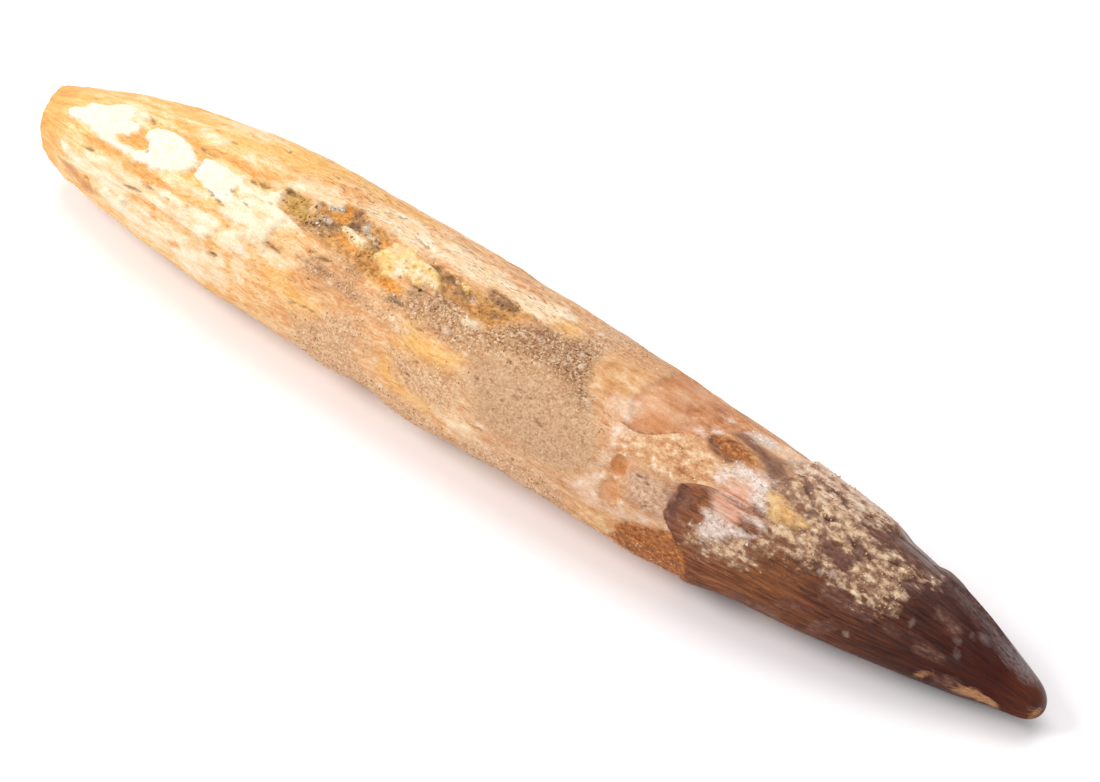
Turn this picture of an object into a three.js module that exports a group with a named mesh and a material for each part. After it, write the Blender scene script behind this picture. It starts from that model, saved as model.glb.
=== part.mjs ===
// Fossil spinosaurus tooth: petrified root and enamel crown in one solid, with the desert sand
// that has set hard on the root. It lies on its belly. Millimetres, +Z up, root end towards -X,
// crown tip towards +X, origin under the middle of the box on the surface it lies on.
//
// "turn" is an angle round the tooth in degrees: 0 on top, 90 on the -Y flank, 180 underneath.
import * as THREE from 'three';
import { mergeVertices } from 'three/addons/utils/BufferGeometryUtils.js';
import { ImprovedNoise } from 'three/addons/math/ImprovedNoise.js';

// Driving dimensions
const LENGTH = 126;               // root end to crown tip
const WIDTH = 19.3;               // widest, across the root
const CROWN_LENGTH = 38.9;        // enamel's edge to the tip, on average
const ENAMEL_THICKNESS = 0.3;     // height of the enamel's edge over the root
const CARINA_HEIGHT = 0.3;        // the two cutting ridges of the crown
const FLUTE_HEIGHT = 0.12;        // the fine ridges between them
const PULP_HOLLOW_DEPTH = 1.4;    // dish in the broken root end
const SLANT = 0.9;                // the root end is broken off at a slant, by twice this
const BELLY_FLAT_DEPTH = 0.35;    // how much of the round belly is lost in the flat it rests on

// Mesh density
const RINGS = 78;                 // rings along the tooth
const SIDES = 64;                 // vertices in a ring
const TURN_STEP = 360 / SIDES;

// Places along the tooth are measured from its thickest part, towards the tip.
const TIP = 62.5;
const ROOT_END = TIP - LENGTH;
const ENAMEL_START = TIP - CROWN_LENGTH;
const HALF_WIDTH = WIDTH / 2;

// Half the width along the tooth, from the bottom of the pulp hollow to the tip, as
// [place, part of the greatest half width].
const OUTLINE = [
  [ROOT_END + PULP_HOLLOW_DEPTH, 0],
  [ROOT_END + PULP_HOLLOW_DEPTH * 0.8, 0.17],
  [ROOT_END + 0.1, 0.33],
  [ROOT_END + 0.1, 0.4],
  [ROOT_END + 1, 0.46],
  [-60, 0.52],
  [-57, 0.61],
  [-54, 0.69],
  [-46, 0.83],
  [-35, 0.966],
  [-20, 0.991],
  [-5, 0.998],
  [10, 0.968],
  [20, 0.92],
  [30, 0.83],
  [38, 0.753],
  [45, 0.636],
  [51, 0.511],
  [55.5, 0.388],
  [59, 0.27],
  [TIP - 1.2, 0.2],
  [TIP - 0.3, 0.12],
  [TIP, 0],
];

// Smooth curve through [position, value] pairs.
function curveThrough(pairs) {
  const positions = pairs.map((pair) => pair[0]);
  const values = pairs.map((pair) => pair[1]);
  const curve = new THREE.CubicInterpolant(positions, values, 1, new Float32Array(1));
  return (position) => curve.evaluate(position)[0];
}

// Height over width of the cross-section: an oval on the root, round at the tip.
const flatness = curveThrough([[-62.5, 0.88], [0, 0.88], [30, 0.9], [50, 0.94], [62.5, 1]]);

// Centre line: highest at mid root, bowed a little sideways, and drooping to the tip.
const centreHeight = curveThrough([
  [-62.5, 6.9], [-45, 7.8], [-20, 8.4], [10, 8.2], [30, 7.4], [45, 6.1], [55, 4.7], [62.5, 3.4],
]);
const centreSide = curveThrough([
  [-62.5, 0], [-40, 0.57], [-10, -0.02], [15, -0.63], [38, -0.27], [52, 0.19], [62.5, 0],
]);

// The enamel's scalloped edge round the tooth, as [turn, distance from ENAMEL_START].
const enamelEdge = curveThrough([
  [-180, -0.6], [-120, -1.6], [-60, -2], [-22, 0.9], [0, -0.6], [25, 1.4], [36, 0.4], [50, 0],
  [64, 0], [76, 1.6], [90, 2.8], [110, 2.6], [140, 0.8], [180, -0.6],
]);

// Hollows (negative) and lumps (positive) of the eroded root, with their half sizes along the
// tooth (mm) and round it (degrees).
const ROOT_FORMS = [
  { name: 'olive crystal hollow', x: -27.6, turn: 11, long: 2.8, round: 9, height: -1.1 },
  { name: 'brown crystal hollow', x: -20.4, turn: 2, long: 4.2, round: 13, height: -1.6 },
  { name: 'cream flake in it', x: -20.6, turn: 10, long: 1.6, round: 4, height: 0.9 },
  { name: 'cream crumbs between', x: -12.8, turn: 8, long: 4.6, round: 11, height: 0.5 },
  { name: 'long brown hollow', x: -3.6, turn: 1, long: 6.4, round: 10, height: -1.7 },
  { name: 'rim over the long hollow', x: -2, turn: -15, long: 7, round: 6, height: 0.35 },
  { name: 'sunk sand', x: 0, turn: 62, long: 17, round: 44, height: -0.3 },
  { name: 'fibrous island in the sand', x: -7, turn: 49, long: 6, round: 9, height: 0.4 },
  { name: 'sunk translucent patch', x: 17, turn: -2, long: 5.5, round: 21, height: -0.35 },
  { name: 'upper oval pit', x: 17.4, turn: 47, long: 1.1, round: 8, height: -0.35 },
  { name: 'lower oval pit', x: 17.3, turn: 68, long: 1.3, round: 9, height: -0.35 },
  { name: 'cream crust near the end', x: -54, turn: 14, long: 5.2, round: 17, height: 0.35 },
  { name: 'cream crust, second', x: -45, turn: 19, long: 3.7, round: 15, height: 0.4 },
  { name: 'cream crust, third', x: -35.5, turn: 22, long: 4.6, round: 13, height: 0.35 },
  { name: 'groove under the crusts', x: -44, turn: 50, long: 16, round: 5, height: -0.45 },
  { name: 'groove of the far flank', x: -14, turn: -118, long: 24, round: 8, height: -0.9 },
  { name: 'sand on the far flank', x: 2, turn: -82, long: 12, round: 20, height: 0.35 },
  { name: 'sunk root underneath', x: -38, turn: 140, long: 14, round: 12, height: -0.6 },
];

// The same for the crown.
const CROWN_FORMS = [
  { name: 'worn notch in the far carina', x: 45, turn: -54, long: 2.6, round: 20, height: -0.45 },
  { name: 'striped window in the enamel', x: 29.5, turn: 36, long: 3.2, round: 17, height: -0.3 },
  { name: 'window on the far flank', x: 33, turn: -120, long: 5, round: 16, height: -0.3 },
  { name: 'chip on the tip', x: 57, turn: 96, long: 2, round: 14, height: -0.35 },
];

const CARINA_TURNS = [-7 * TURN_STEP, 25 * TURN_STEP];

const noise = new ImprovedNoise();

function turnBetween(turn, from) {
  return THREE.MathUtils.euclideanModulo(turn - from + 180, 360) - 180;
}

// A bump of height 1 with a flat middle and firm edges.
function plateau(along, across) {
  return Math.exp(-Math.pow(along * along + across * across, 1.6));
}

// Height of the given hollows and lumps at one place.
function formsAt(forms, x, turn) {
  let height = 0;
  for (const form of forms) {
    const along = (x - form.x) / form.long;
    height += form.height * plateau(along, turnBetween(turn, form.turn) / form.round);
  }
  return height;
}

// Relief of the root: crusts, hollows, lengthwise fibres, and lumps of set sand.
function rootRelief(x, turn) {
  const angle = THREE.MathUtils.degToRad(turn);
  const across = HALF_WIDTH * Math.sin(angle);
  const upward = HALF_WIDTH * Math.cos(angle);
  const fibres = 0.3 * noise.noise(x * 0.05, across * 0.5, upward * 0.5);
  const lumps = 0.4 * noise.noise(x * 0.26, across * 0.26, upward * 0.26 + 7);
  return formsAt(ROOT_FORMS, x, turn) + fibres + lumps;
}

// Relief of the crown: enamel over the root, two carinae, and flutes that fade out at the ends.
function crownRelief(x, turn) {
  const fade = THREE.MathUtils.smoothstep(x, ENAMEL_START + 2, ENAMEL_START + 9)
    * (1 - THREE.MathUtils.smoothstep(x, TIP - 9, TIP - 3));
  const ridge = Math.round(turn / TURN_STEP) % 2 === 0 ? FLUTE_HEIGHT : -FLUTE_HEIGHT;
  let height = formsAt(CROWN_FORMS, x, turn) + ridge * fade;
  for (const carinaTurn of CARINA_TURNS) {
    const across = turnBetween(turn, carinaTurn) / TURN_STEP;
    height += CARINA_HEIGHT * Math.exp(-across * across * 1.5) * fade;
  }
  return height;
}

// Lathe outline: the half width along the tooth, with the step up onto the enamel.
function latheOutline() {
  const spline = new THREE.SplineCurve(OUTLINE.map(([x, part]) => new THREE.Vector2(part * HALF_WIDTH, x)));
  const points = spline.getSpacedPoints(RINGS);
  const stepAt = points.findIndex((point) => point.y > ENAMEL_START);
  const root = points.slice(0, stepAt);
  const crown = points.slice(stepAt);
  const before = points[stepAt - 1];
  const after = points[stepAt];
  const share = (ENAMEL_START - before.y) / (after.y - before.y);
  const edge = before.clone().lerp(after, share);
  const ledge = [
    new THREE.Vector2(edge.x - ENAMEL_THICKNESS / 2, ENAMEL_START - 0.2),
    new THREE.Vector2(edge.x + ENAMEL_THICKNESS / 2, ENAMEL_START + 0.2),
  ];
  for (const point of crown) {
    point.x += (ENAMEL_THICKNESS / 2) * Math.max(0, 1 - (point.y - ENAMEL_START) / 14);
  }
  for (const point of root.slice(1)) {
    point.x -= (ENAMEL_THICKNESS / 2) * Math.max(0, 1 - (ENAMEL_START - point.y) / 12);
  }
  const nearEdge = (point) => Math.abs(point.y - ENAMEL_START) < 0.5;
  return [...root.filter((p) => !nearEdge(p)), ...ledge, ...crown.filter((p) => !nearEdge(p))];
}

// Turns the round lathe body into the tooth: oval, bowed, with relief and a flat belly.
function shapeTooth(geometry) {
  const position = geometry.attributes.position;
  const onCrown = ENAMEL_START + 0.1;
  for (let i = 0; i < position.count; i += 1) {
    const radius = Math.hypot(position.getX(i), position.getZ(i));
    const ringX = position.getY(i);
    const turn = radius > 1e-6
      ? THREE.MathUtils.radToDeg(Math.atan2(position.getX(i), position.getZ(i)))
      : 0;
    const rimPart = Math.min(1, radius / 4);

    // The enamel's edge wanders, and the root end is broken off at a slant.
    const fromEdge = (ringX - ENAMEL_START) / 9;
    const wander = enamelEdge(turn) * Math.exp(-fromEdge * fromEdge) * rimPart;
    const endPart = 1 - THREE.MathUtils.smoothstep(ringX, ROOT_END + 1, ROOT_END + 9);
    const slant = SLANT * endPart * rimPart * (1 - Math.cos(THREE.MathUtils.degToRad(turn + 50)));
    const x = ringX + wander + slant;

    const relief = ringX > onCrown ? crownRelief(ringX, turn) : rootRelief(x, turn);
    const full = radius + relief * Math.min(1, radius / 3);
    const angle = THREE.MathUtils.degToRad(turn);
    const y = centreSide(ringX) - full * Math.sin(angle);
    const z = centreHeight(ringX) + flatness(ringX) * full * Math.cos(angle) - BELLY_FLAT_DEPTH;
    position.setXYZ(i, x, y, Math.max(0, z));
  }
}

// Moves the tooth so that the origin is under the middle of its box.
function centreOnBox(geometry) {
  geometry.computeBoundingBox();
  const middle = geometry.boundingBox.getCenter(new THREE.Vector3());
  geometry.translate(-middle.x, -middle.y, -geometry.boundingBox.min.z);
}

// The lathe folds the inner triangles of its two poles flat: these are taken out.
function dropSlivers(geometry) {
  const corners = geometry.index.array;
  const kept = [];
  for (let i = 0; i < corners.length; i += 3) {
    const [a, b, c] = corners.slice(i, i + 3);
    if (a !== b && b !== c && c !== a) {
      kept.push(a, b, c);
    }
  }
  geometry.setIndex(kept);
  return geometry;
}

function buildTooth() {
  const lathe = new THREE.LatheGeometry(latheOutline(), SIDES);
  lathe.deleteAttribute('normal');
  lathe.deleteAttribute('uv');
  shapeTooth(lathe);
  centreOnBox(lathe);
  const geometry = dropSlivers(mergeVertices(lathe, 1e-4));
  geometry.computeVertexNormals();
  const fossil = new THREE.MeshStandardMaterial({ color: 0xc39463, roughness: 0.7, metalness: 0 });
  const mesh = new THREE.Mesh(geometry, fossil);
  mesh.name = 'tooth';
  return mesh;
}

const tooth = new THREE.Group();
tooth.add(buildTooth());

export default tooth;
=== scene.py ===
import math

import bpy
import numpy as np
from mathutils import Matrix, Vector, noise


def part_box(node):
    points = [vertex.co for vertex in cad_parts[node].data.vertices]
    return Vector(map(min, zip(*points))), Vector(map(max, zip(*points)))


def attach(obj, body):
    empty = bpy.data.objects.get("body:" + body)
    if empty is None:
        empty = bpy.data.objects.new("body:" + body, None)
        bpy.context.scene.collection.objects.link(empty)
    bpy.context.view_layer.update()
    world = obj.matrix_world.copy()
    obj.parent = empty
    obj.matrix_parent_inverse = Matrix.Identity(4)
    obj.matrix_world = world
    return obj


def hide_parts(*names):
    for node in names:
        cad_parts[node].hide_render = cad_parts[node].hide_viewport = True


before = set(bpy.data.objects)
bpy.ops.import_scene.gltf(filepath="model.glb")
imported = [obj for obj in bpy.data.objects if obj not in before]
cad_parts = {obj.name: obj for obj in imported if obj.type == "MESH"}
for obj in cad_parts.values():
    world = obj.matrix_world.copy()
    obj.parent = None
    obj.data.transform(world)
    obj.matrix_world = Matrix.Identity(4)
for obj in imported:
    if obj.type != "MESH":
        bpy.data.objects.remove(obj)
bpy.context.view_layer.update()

MM = 0.001

# ---------------------------------------------------------------------------
# Camera: a long lens on a stand, looking down on the tooth past its tip, so
# that the tooth lies across the frame from the far root end to the near tip.
# ---------------------------------------------------------------------------
CAMERA_TURN = math.radians(37.83)      # from looking straight along +Y
CAMERA_HEIGHT = math.radians(48.0)     # above the floor's plane
CAMERA_DISTANCE = 414.86 * MM
CAMERA_AIM = Vector((2.39, 1.51, 5.65)) * MM

camera_data = bpy.data.cameras.new("camera")
camera_data.sensor_width = 36.0
camera_data.lens = 135.0
camera_data.clip_start = 0.01
camera = bpy.data.objects.new("camera", camera_data)
bpy.context.scene.collection.objects.link(camera)
bpy.context.scene.camera = camera
towards_camera = Vector((
    math.sin(CAMERA_TURN) * math.cos(CAMERA_HEIGHT),
    -math.cos(CAMERA_TURN) * math.cos(CAMERA_HEIGHT),
    math.sin(CAMERA_HEIGHT),
))
camera.location = CAMERA_AIM + towards_camera * CAMERA_DISTANCE
camera.rotation_euler = towards_camera.to_track_quat("Z", "Y").to_euler()


# ---------------------------------------------------------------------------
# Tooth: one fossil, petrified through. An oval root of tan, fibrous dentine,
# eroded and crusted with chalk and set sand, and a fluted crown of enamel. It
# is drawn out ring by ring, smoothed, and then carved, built up and coloured.
# ---------------------------------------------------------------------------

# Places are mm along the tooth from its thickest part towards the tip, and
# turns are degrees round it: 0 on top, 90 on the -Y flank, 180 underneath.
TIP = 62.5
ROOT_END = TIP - 126.0
PULP_HOLLOW = 1.4
HALF_WIDTH = 9.65
MOUTH = 0.4            # half width of the pulp hollow's mouth, as a part of HALF_WIDTH
ENAMEL_START = 23.6
CARINAE = (-39.4, 140.6)
CARINA_WIDTH = 4.0     # degrees
CARINA_HEIGHT = 0.3
FLUTES = 48
MIDDLE = Vector((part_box("tooth")[1].x / MM - TIP, -0.16, -0.35))
OUTLINE = [
    (ROOT_END + 1.2, MOUTH), (ROOT_END + 1.6, 0.46), (-60, 0.52), (-57, 0.61), (-54, 0.69), (-46, 0.83),
    (-35, 0.966), (-20, 0.991), (-5, 0.998), (10, 0.968), (20, 0.915), (30, 0.82), (38, 0.737),
    (45, 0.618), (51, 0.493), (55.5, 0.371), (59, 0.265), (61.3, 0.2), (62.2, 0.12), (TIP, 0.04),
]
FLATNESS = [(-62.5, 0.88), (0, 0.88), (30, 0.9), (50, 0.94), (62.5, 1.0)]
END_HEIGHT = 6.9
CENTRE_HEIGHT = [
    (-62.5, END_HEIGHT), (-45, 7.8), (-20, 8.4), (10, 8.2), (30, 7.4), (45, 6.1), (55, 4.7), (62.5, 3.4),
]
CENTRE_SIDE = [(-62.5, 0), (-40, 0.57), (-10, -0.02), (15, -0.6), (38, -0.1), (52, 0.36), (62.5, 0.05)]
SMOOTHING = 3


def along(pairs, places):
    """Values at some places of the smooth curve through (place, value) pairs."""
    xs, ys = np.array(pairs, float).T
    places = np.clip(np.asarray(places, float), xs[0], xs[-1])
    slopes = np.empty_like(ys)
    slopes[1:-1] = (ys[2:] - ys[:-2]) / (xs[2:] - xs[:-2])
    slopes[0] = (ys[1] - ys[0]) / (xs[1] - xs[0])
    slopes[-1] = (ys[-1] - ys[-2]) / (xs[-1] - xs[-2])
    i = np.clip(np.searchsorted(xs, places) - 1, 0, len(xs) - 2)
    gap = xs[i + 1] - xs[i]
    t = (places - xs[i]) / gap
    return ((2 * t**3 - 3 * t**2 + 1) * ys[i] + (t**3 - 2 * t**2 + t) * gap * slopes[i]
            + (3 * t**2 - 2 * t**3) * ys[i + 1] + (t**3 - t**2) * gap * slopes[i + 1])


# Rings: (place, part of the greatest half width), from the bottom of the pulp hollow, over the
# broken rim of the root end, along the root, close together where it is eroded, to the tip.
rings = [(ROOT_END + PULP_HOLLOW, 0.05), (ROOT_END + 0.9 * PULP_HOLLOW, 0.2), (ROOT_END + 0.2, 0.33),
         (ROOT_END + 0.05, MOUTH)]
stations = [-62.4, -60.4, -57.5, -54.5, -51.5, -48.5, -45.5, -42.5, -39.5, -36.5, -33.7, -31]
stations += list(np.arange(-28.3, 31, 2.7))
stations += [33.4, 36.4, 39.6, 43, 46.5, 50.5, 54.5, 58, 60.2, 61.6, 62.3, TIP]
rings += [(x, float(along(OUTLINE, [x])[0])) for x in stations]

# Places round a ring, closer together on the crusted side than on the worn one.
ring_turns = np.radians(np.concatenate([
    np.linspace(-60, 120, 19, endpoint=False), np.linspace(120, 300, 11, endpoint=False)]))


def ring_shape(place, part):
    """Centre and half sizes, in metres, of the ring at a place."""
    side, height, flat = (
        float(along(curve, [place])[0]) for curve in (CENTRE_SIDE, CENTRE_HEIGHT, FLATNESS))
    centre = (Vector((place, side, height)) + MIDDLE) * MM
    return centre, part * HALF_WIDTH * MM, part * HALF_WIDTH * flat * MM


def read(items, name, width=1, kind=float):
    """One property of all of a mesh's vertices, corners or faces, in rows where it has parts."""
    values = np.empty(len(items) * width, kind)
    items.foreach_get(name, values)
    return values.reshape(-1, width) if width > 1 else values


bpy.ops.object.select_all(action="DESELECT")
centre, half_y, half_z = ring_shape(*rings[0])
bpy.ops.mesh.primitive_circle_add(vertices=len(ring_turns), radius=half_y, location=centre,
                                  rotation=(0, math.pi / 2, 0))
tooth = bpy.context.object
tooth.name = "tooth_surface"
bpy.ops.object.transform_apply(location=True, rotation=True, scale=True)
for vertex, ring_turn in zip(tooth.data.vertices, ring_turns):
    vertex.co = centre + Vector((0, -half_y * math.sin(ring_turn), half_z * math.cos(ring_turn)))
bpy.ops.object.mode_set(mode="EDIT")
bpy.ops.mesh.select_all(action="SELECT")
for ring in rings[1:]:
    next_centre, next_y, next_z = ring_shape(*ring)
    bpy.ops.mesh.extrude_region_move(TRANSFORM_OT_translate={"value": next_centre - centre})
    bpy.ops.transform.resize(value=(1, next_y / half_y, next_z / half_z), center_override=next_centre)
    centre, half_y, half_z = next_centre, next_y, next_z
bpy.ops.mesh.edge_face_add()      # closes the tip
bpy.ops.mesh.poke()
bpy.ops.mesh.select_all(action="DESELECT")
bpy.ops.mesh.select_non_manifold()
bpy.ops.mesh.edge_face_add()      # closes the bottom of the pulp hollow
bpy.ops.mesh.poke()
bpy.ops.mesh.select_all(action="SELECT")
bpy.ops.mesh.normals_make_consistent(inside=False)
bpy.ops.object.mode_set(mode="OBJECT")
smoothing = tooth.modifiers.new("smoothing", "SUBSURF")
smoothing.levels = SMOOTHING
smoothing.render_levels = SMOOTHING
bpy.ops.object.modifier_apply(modifier="smoothing")
bpy.ops.object.shade_smooth()

# The place and turn of every vertex, the half width of the tooth there, and how far from the
# middle it lies in the pulp hollow, from 0 to 1 at its mouth and outside.
points = read(tooth.data.vertices, "co", 3) / MM - np.array(MIDDLE)
x = points[:, 0]
middle_side = along(CENTRE_SIDE, x)
above = (points[:, 2] - along(CENTRE_HEIGHT, x)) / along(FLATNESS, x)
turn = np.degrees(np.arctan2(middle_side - points[:, 1], above))
half_width = np.maximum(along(OUTLINE, x), 0.05) * HALF_WIDTH
reach = np.hypot(points[:, 1] - middle_side, above)
reach = np.where(x < ROOT_END + 2, np.clip(reach / (MOUTH * HALF_WIDTH), 0, 1), 1)

FAR = 9.0              # mm from a mark's edge, past which it doesn't matter how far
NEARBY = 2.5           # mm round an outline in which the distance to it is measured


def turn_between(a, b):
    return (a - b + 180) % 360 - 180


def surface_scale(place):
    """What makes mm along the tooth and degrees round it, near a place, into mm on its surface."""
    radius = float(along(OUTLINE, [place])[0]) * HALF_WIDTH
    return np.array([1.0, math.radians(1) * radius])


def from_line(spots, edge):
    """How far along an edge from the origin some spots lie, from 0 to 1, and how far off it."""
    part = np.clip(spots @ edge / (edge @ edge), 0, 1)
    return part, np.linalg.norm(spots - part[:, None] * edge, axis=1)


def depth_in(outlines):
    """Distance in mm inside the nearest edge of any of some closed outlines, negative outside.
    An outline is a list of (place, turn) corners."""
    best = np.full(len(x), -FAR)
    for outline in outlines:
        corners = np.array(outline, float)
        middle = corners.mean(0)
        scale = surface_scale(middle[0])
        corners = (corners - middle) * scale
        spots = np.stack([x - middle[0], turn_between(turn, middle[1])], 1) * scale
        low, high = corners.min(0) - NEARBY, corners.max(0) + NEARBY
        near = np.flatnonzero(np.all((spots > low) & (spots < high), 1))
        spots = spots[near]
        distance = np.full(len(near), FAR)
        inside = np.zeros(len(near), bool)
        for a, b in zip(corners, np.roll(corners, -1, 0)):
            edge = b - a
            distance = np.minimum(distance, from_line(spots - a, edge)[1])
            crossing = (a[1] > spots[:, 1]) != (b[1] > spots[:, 1])
            with np.errstate(divide="ignore", invalid="ignore"):
                meets = a[0] + (spots[:, 1] - a[1]) / (b[1] - a[1]) * edge[0]
            inside ^= crossing & (spots[:, 0] < meets)
        best[near] = np.maximum(best[near], np.where(inside, distance, -distance))
    return best


def depth_on(strokes):
    """Distance in mm inside the edge of any of some strokes, negative outside. A stroke is
    (place, turn, place, turn, width in mm) and thins out towards its ends."""
    best = np.full(len(x), -FAR)
    for x_a, turn_a, x_b, turn_b, width in strokes:
        scale = surface_scale((x_a + x_b) / 2)
        edge = np.array([x_b - x_a, turn_b - turn_a]) * scale
        part, distance = from_line(np.stack([x - x_a, turn_between(turn, turn_a)], 1) * scale, edge)
        thin = 1 - 0.6 * (2 * part - 1)**2
        best = np.maximum(best, 0.5 * width * thin - distance)
    return best


def lumps(size, stretch, seed):
    """Smooth noise from -1 to 1 at every vertex, its lumps of one size in mm, drawn out lengthwise."""
    spots = np.stack([x / stretch, half_width * np.sin(np.radians(turn)),
                      half_width * np.cos(np.radians(turn))], 1) / size + seed
    return np.array([noise.noise(Vector(spot)) for spot in spots])


marks, ragged = {}, {}


def draw(name, share, *outlines):
    """Draws a mark as closed outlines, whose edges will wander by a share of the wobble below."""
    marks[name] = depth_in(outlines)
    ragged[name] = share


# Pale layers on the dentine: crusts of chalk near the root end, and cream, gold and orange bands.
draw("chalk", 0.8,
     [(-57.6, 3), (-55.4, 0), (-54.6, -5), (-53, -7.5), (-51.8, -5), (-51.7, 2), (-51, 8), (-49.9, 9.5),
      (-49.6, 15), (-50.2, 19), (-51.3, 23), (-51.7, 27), (-51.2, 31), (-49.5, 31), (-47.8, 30),
      (-47.3, 37), (-50, 36), (-53.5, 35), (-55.2, 29), (-57.5, 26), (-59.3, 28), (-59.9, 20), (-59.3, 14),
      (-57.6, 11)],
     [(-48.6, 12), (-48.2, 6), (-47, 3.5), (-45, 5), (-43, 8), (-41.8, 13), (-41, 18), (-41.1, 24),
      (-41.8, 30), (-43.2, 34), (-45.5, 37), (-48, 38), (-48.2, 31), (-47.2, 26), (-47.5, 20), (-48.4, 17)],
     [(-40.3, 26), (-40.4, 13), (-39.3, 11), (-37, 12), (-36, 14.5), (-34.9, 13.5), (-35, 22), (-34.8, 31),
      (-34.8, 36), (-36.6, 33.5), (-38, 31), (-39.6, 30)])
draw("speckled", 2.0,
     [(-44, 49.5), (-40, 47.5), (-35.5, 46), (-33.6, 49), (-34.6, 53), (-38, 53), (-42.6, 52.5)],
     [(-35.2, 14), (-33.5, 16), (-31.5, 14), (-30.5, 9), (-29.6, 9), (-29.4, 17), (-27.7, 20), (-27, 24),
      (-27.9, 29), (-28.2, 37), (-28.4, 43), (-28, 50), (-29.5, 46), (-31, 50), (-29.5, 57), (-32.5, 59),
      (-34.6, 57), (-34, 52), (-33, 48), (-33, 43), (-35.5, 38), (-37, 34), (-35, 30)],
     [(-42.4, 57), (-40, 55.5), (-36, 54.5), (-34.4, 55.5), (-33.6, 60), (-36.5, 61.5), (-40, 60),
      (-42.5, 60)],
     [(-39.3, 69), (-38, 66.5), (-36, 66), (-34.6, 67.5), (-34.4, 73), (-36.2, 77), (-38.6, 75)],
     [(-53, 64), (-52, 61.5), (-51, 64), (-49.4, 60), (-49, 62), (-50.9, 66), (-51.6, 69), (-52.8, 68)],
     [(-51.6, 78), (-50, 71), (-47, 69), (-46.4, 74), (-47.2, 85), (-49.5, 88), (-51, 84)],
     [(-58.4, 62), (-57.2, 60.5), (-57, 65), (-55.2, 64), (-55.4, 67), (-57, 68.5), (-58.4, 66)],
     [(-51.5, -4), (-50.6, -6), (-49.9, -3), (-50, 3), (-50.4, 8), (-51.2, 6)])
draw("cream", 2.2,
     [(-54, 50), (-50, 44), (-44, 47.5), (-38, 47), (-35, 50), (-34, 58), (-40, 67), (-48, 74), (-56, 72),
      (-58, 64)],
     [(-46, 37.5), (-43, 35), (-38.5, 34), (-37, 34.5), (-38, 40), (-42, 41), (-44.5, 39)],
     [(-54.8, 56), (-52, 52), (-50, 50), (-48.3, 54), (-49, 60), (-53, 68), (-54.6, 66)],
     [(-49, 50), (-46, 49), (-45, 56), (-48, 58)],
     [(-44.6, -10), (-43, -12), (-41, -8), (-39.6, -3), (-41.5, -2.5), (-43.5, -6)],
     [(-36.6, -6), (-35, -8.5), (-33.2, -7), (-34, -4), (-36.6, -3)],
     [(-44, -45), (-40, -48), (-36, -34), (-38, -26), (-42, -30)],
     [(-30.8, -2), (-30.2, -10), (-29, -13), (-25.5, -12.5), (-23.8, -10), (-23.9, -5), (-24.6, 1),
      (-26, 2.5), (-28.5, 1.5), (-30.5, 3), (-31.2, 8), (-32.2, 7)],
     [(-22.5, -14), (-21.8, -23), (-18, -29), (-15, -31), (-10, -27), (-5, -22), (-1, -20), (1.4, -30),
      (3.4, -26), (3, -17.5), (2.6, -12), (2, -8.5), (0.5, -6.5), (-1, -6.5), (-3, -9.5), (-5, -10),
      (-8, -8), (-12, -5.5), (-16.5, -6), (-19.5, -8.5), (-21, -11)],
     [(-28, 20), (-26.6, 20), (-25.8, 24), (-27, 25), (-28.2, 24)],
     [(-31.4, 62), (-29.9, 60), (-29.6, 66), (-29.8, 78), (-31.6, 78)],
     [(-1, 89), (1.5, 87), (3, 88), (3.2, 92), (1.5, 95.5), (-1, 94)],
     [(-4, 84), (-1, 80), (1.5, 82), (1, 88), (-2, 92)],
     [(-28.6, 43), (-26, 41), (-24.6, 46), (-25.6, 51), (-28, 51)],
     [(-49, 72), (-46, 66), (-43, 68), (-40.5, 66), (-36, 64), (-32.4, 66), (-31.4, 80), (-32, 98),
      (-38, 104), (-46, 96), (-50, 88)])
draw("gold", 2.5,
     [(-59.5, -8), (-57, -9), (-55.3, -6), (-55.3, -2), (-57.8, 2), (-58, 10), (-59.5, 10), (-60.5, 0)],
     [(-48.6, -38), (-46.5, -33), (-43.5, -27), (-45, -20), (-49, -24), (-52, -30)],
     [(-35.2, -40), (-32, -44), (-29, -40), (-27, -30), (-28, -18), (-31, -14), (-36, -13), (-38.5, -8),
      (-40.3, -11), (-38.5, -20), (-35.5, -26)],
     [(-27, 52), (-25, 54), (-22, 60), (-19.8, 63), (-20.2, 68), (-23, 70), (-25.5, 66), (-27, 60)],
     [(-31.5, -30), (-26, -34), (-20, -32), (-16, -34), (-17, -40), (-24, -44), (-30, -46)],
     [(-15, 24), (-12.2, 23.5), (-12, 27), (-14.5, 28.5), (-17.5, 29), (-17.4, 25)],
     [(-11.5, 72), (-10, 68), (-9.6, 74), (-7, 82), (-2, 84), (-3, 92), (-8, 91), (-11, 84)],
     [(2.2, -16), (4.2, -19), (5.4, -14), (5.4, -8), (4, -9), (2.2, -9)],
     [(-10, 40), (-6, 41), (-2.4, 41), (-3, 50), (-6, 55), (-10, 52)])
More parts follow.
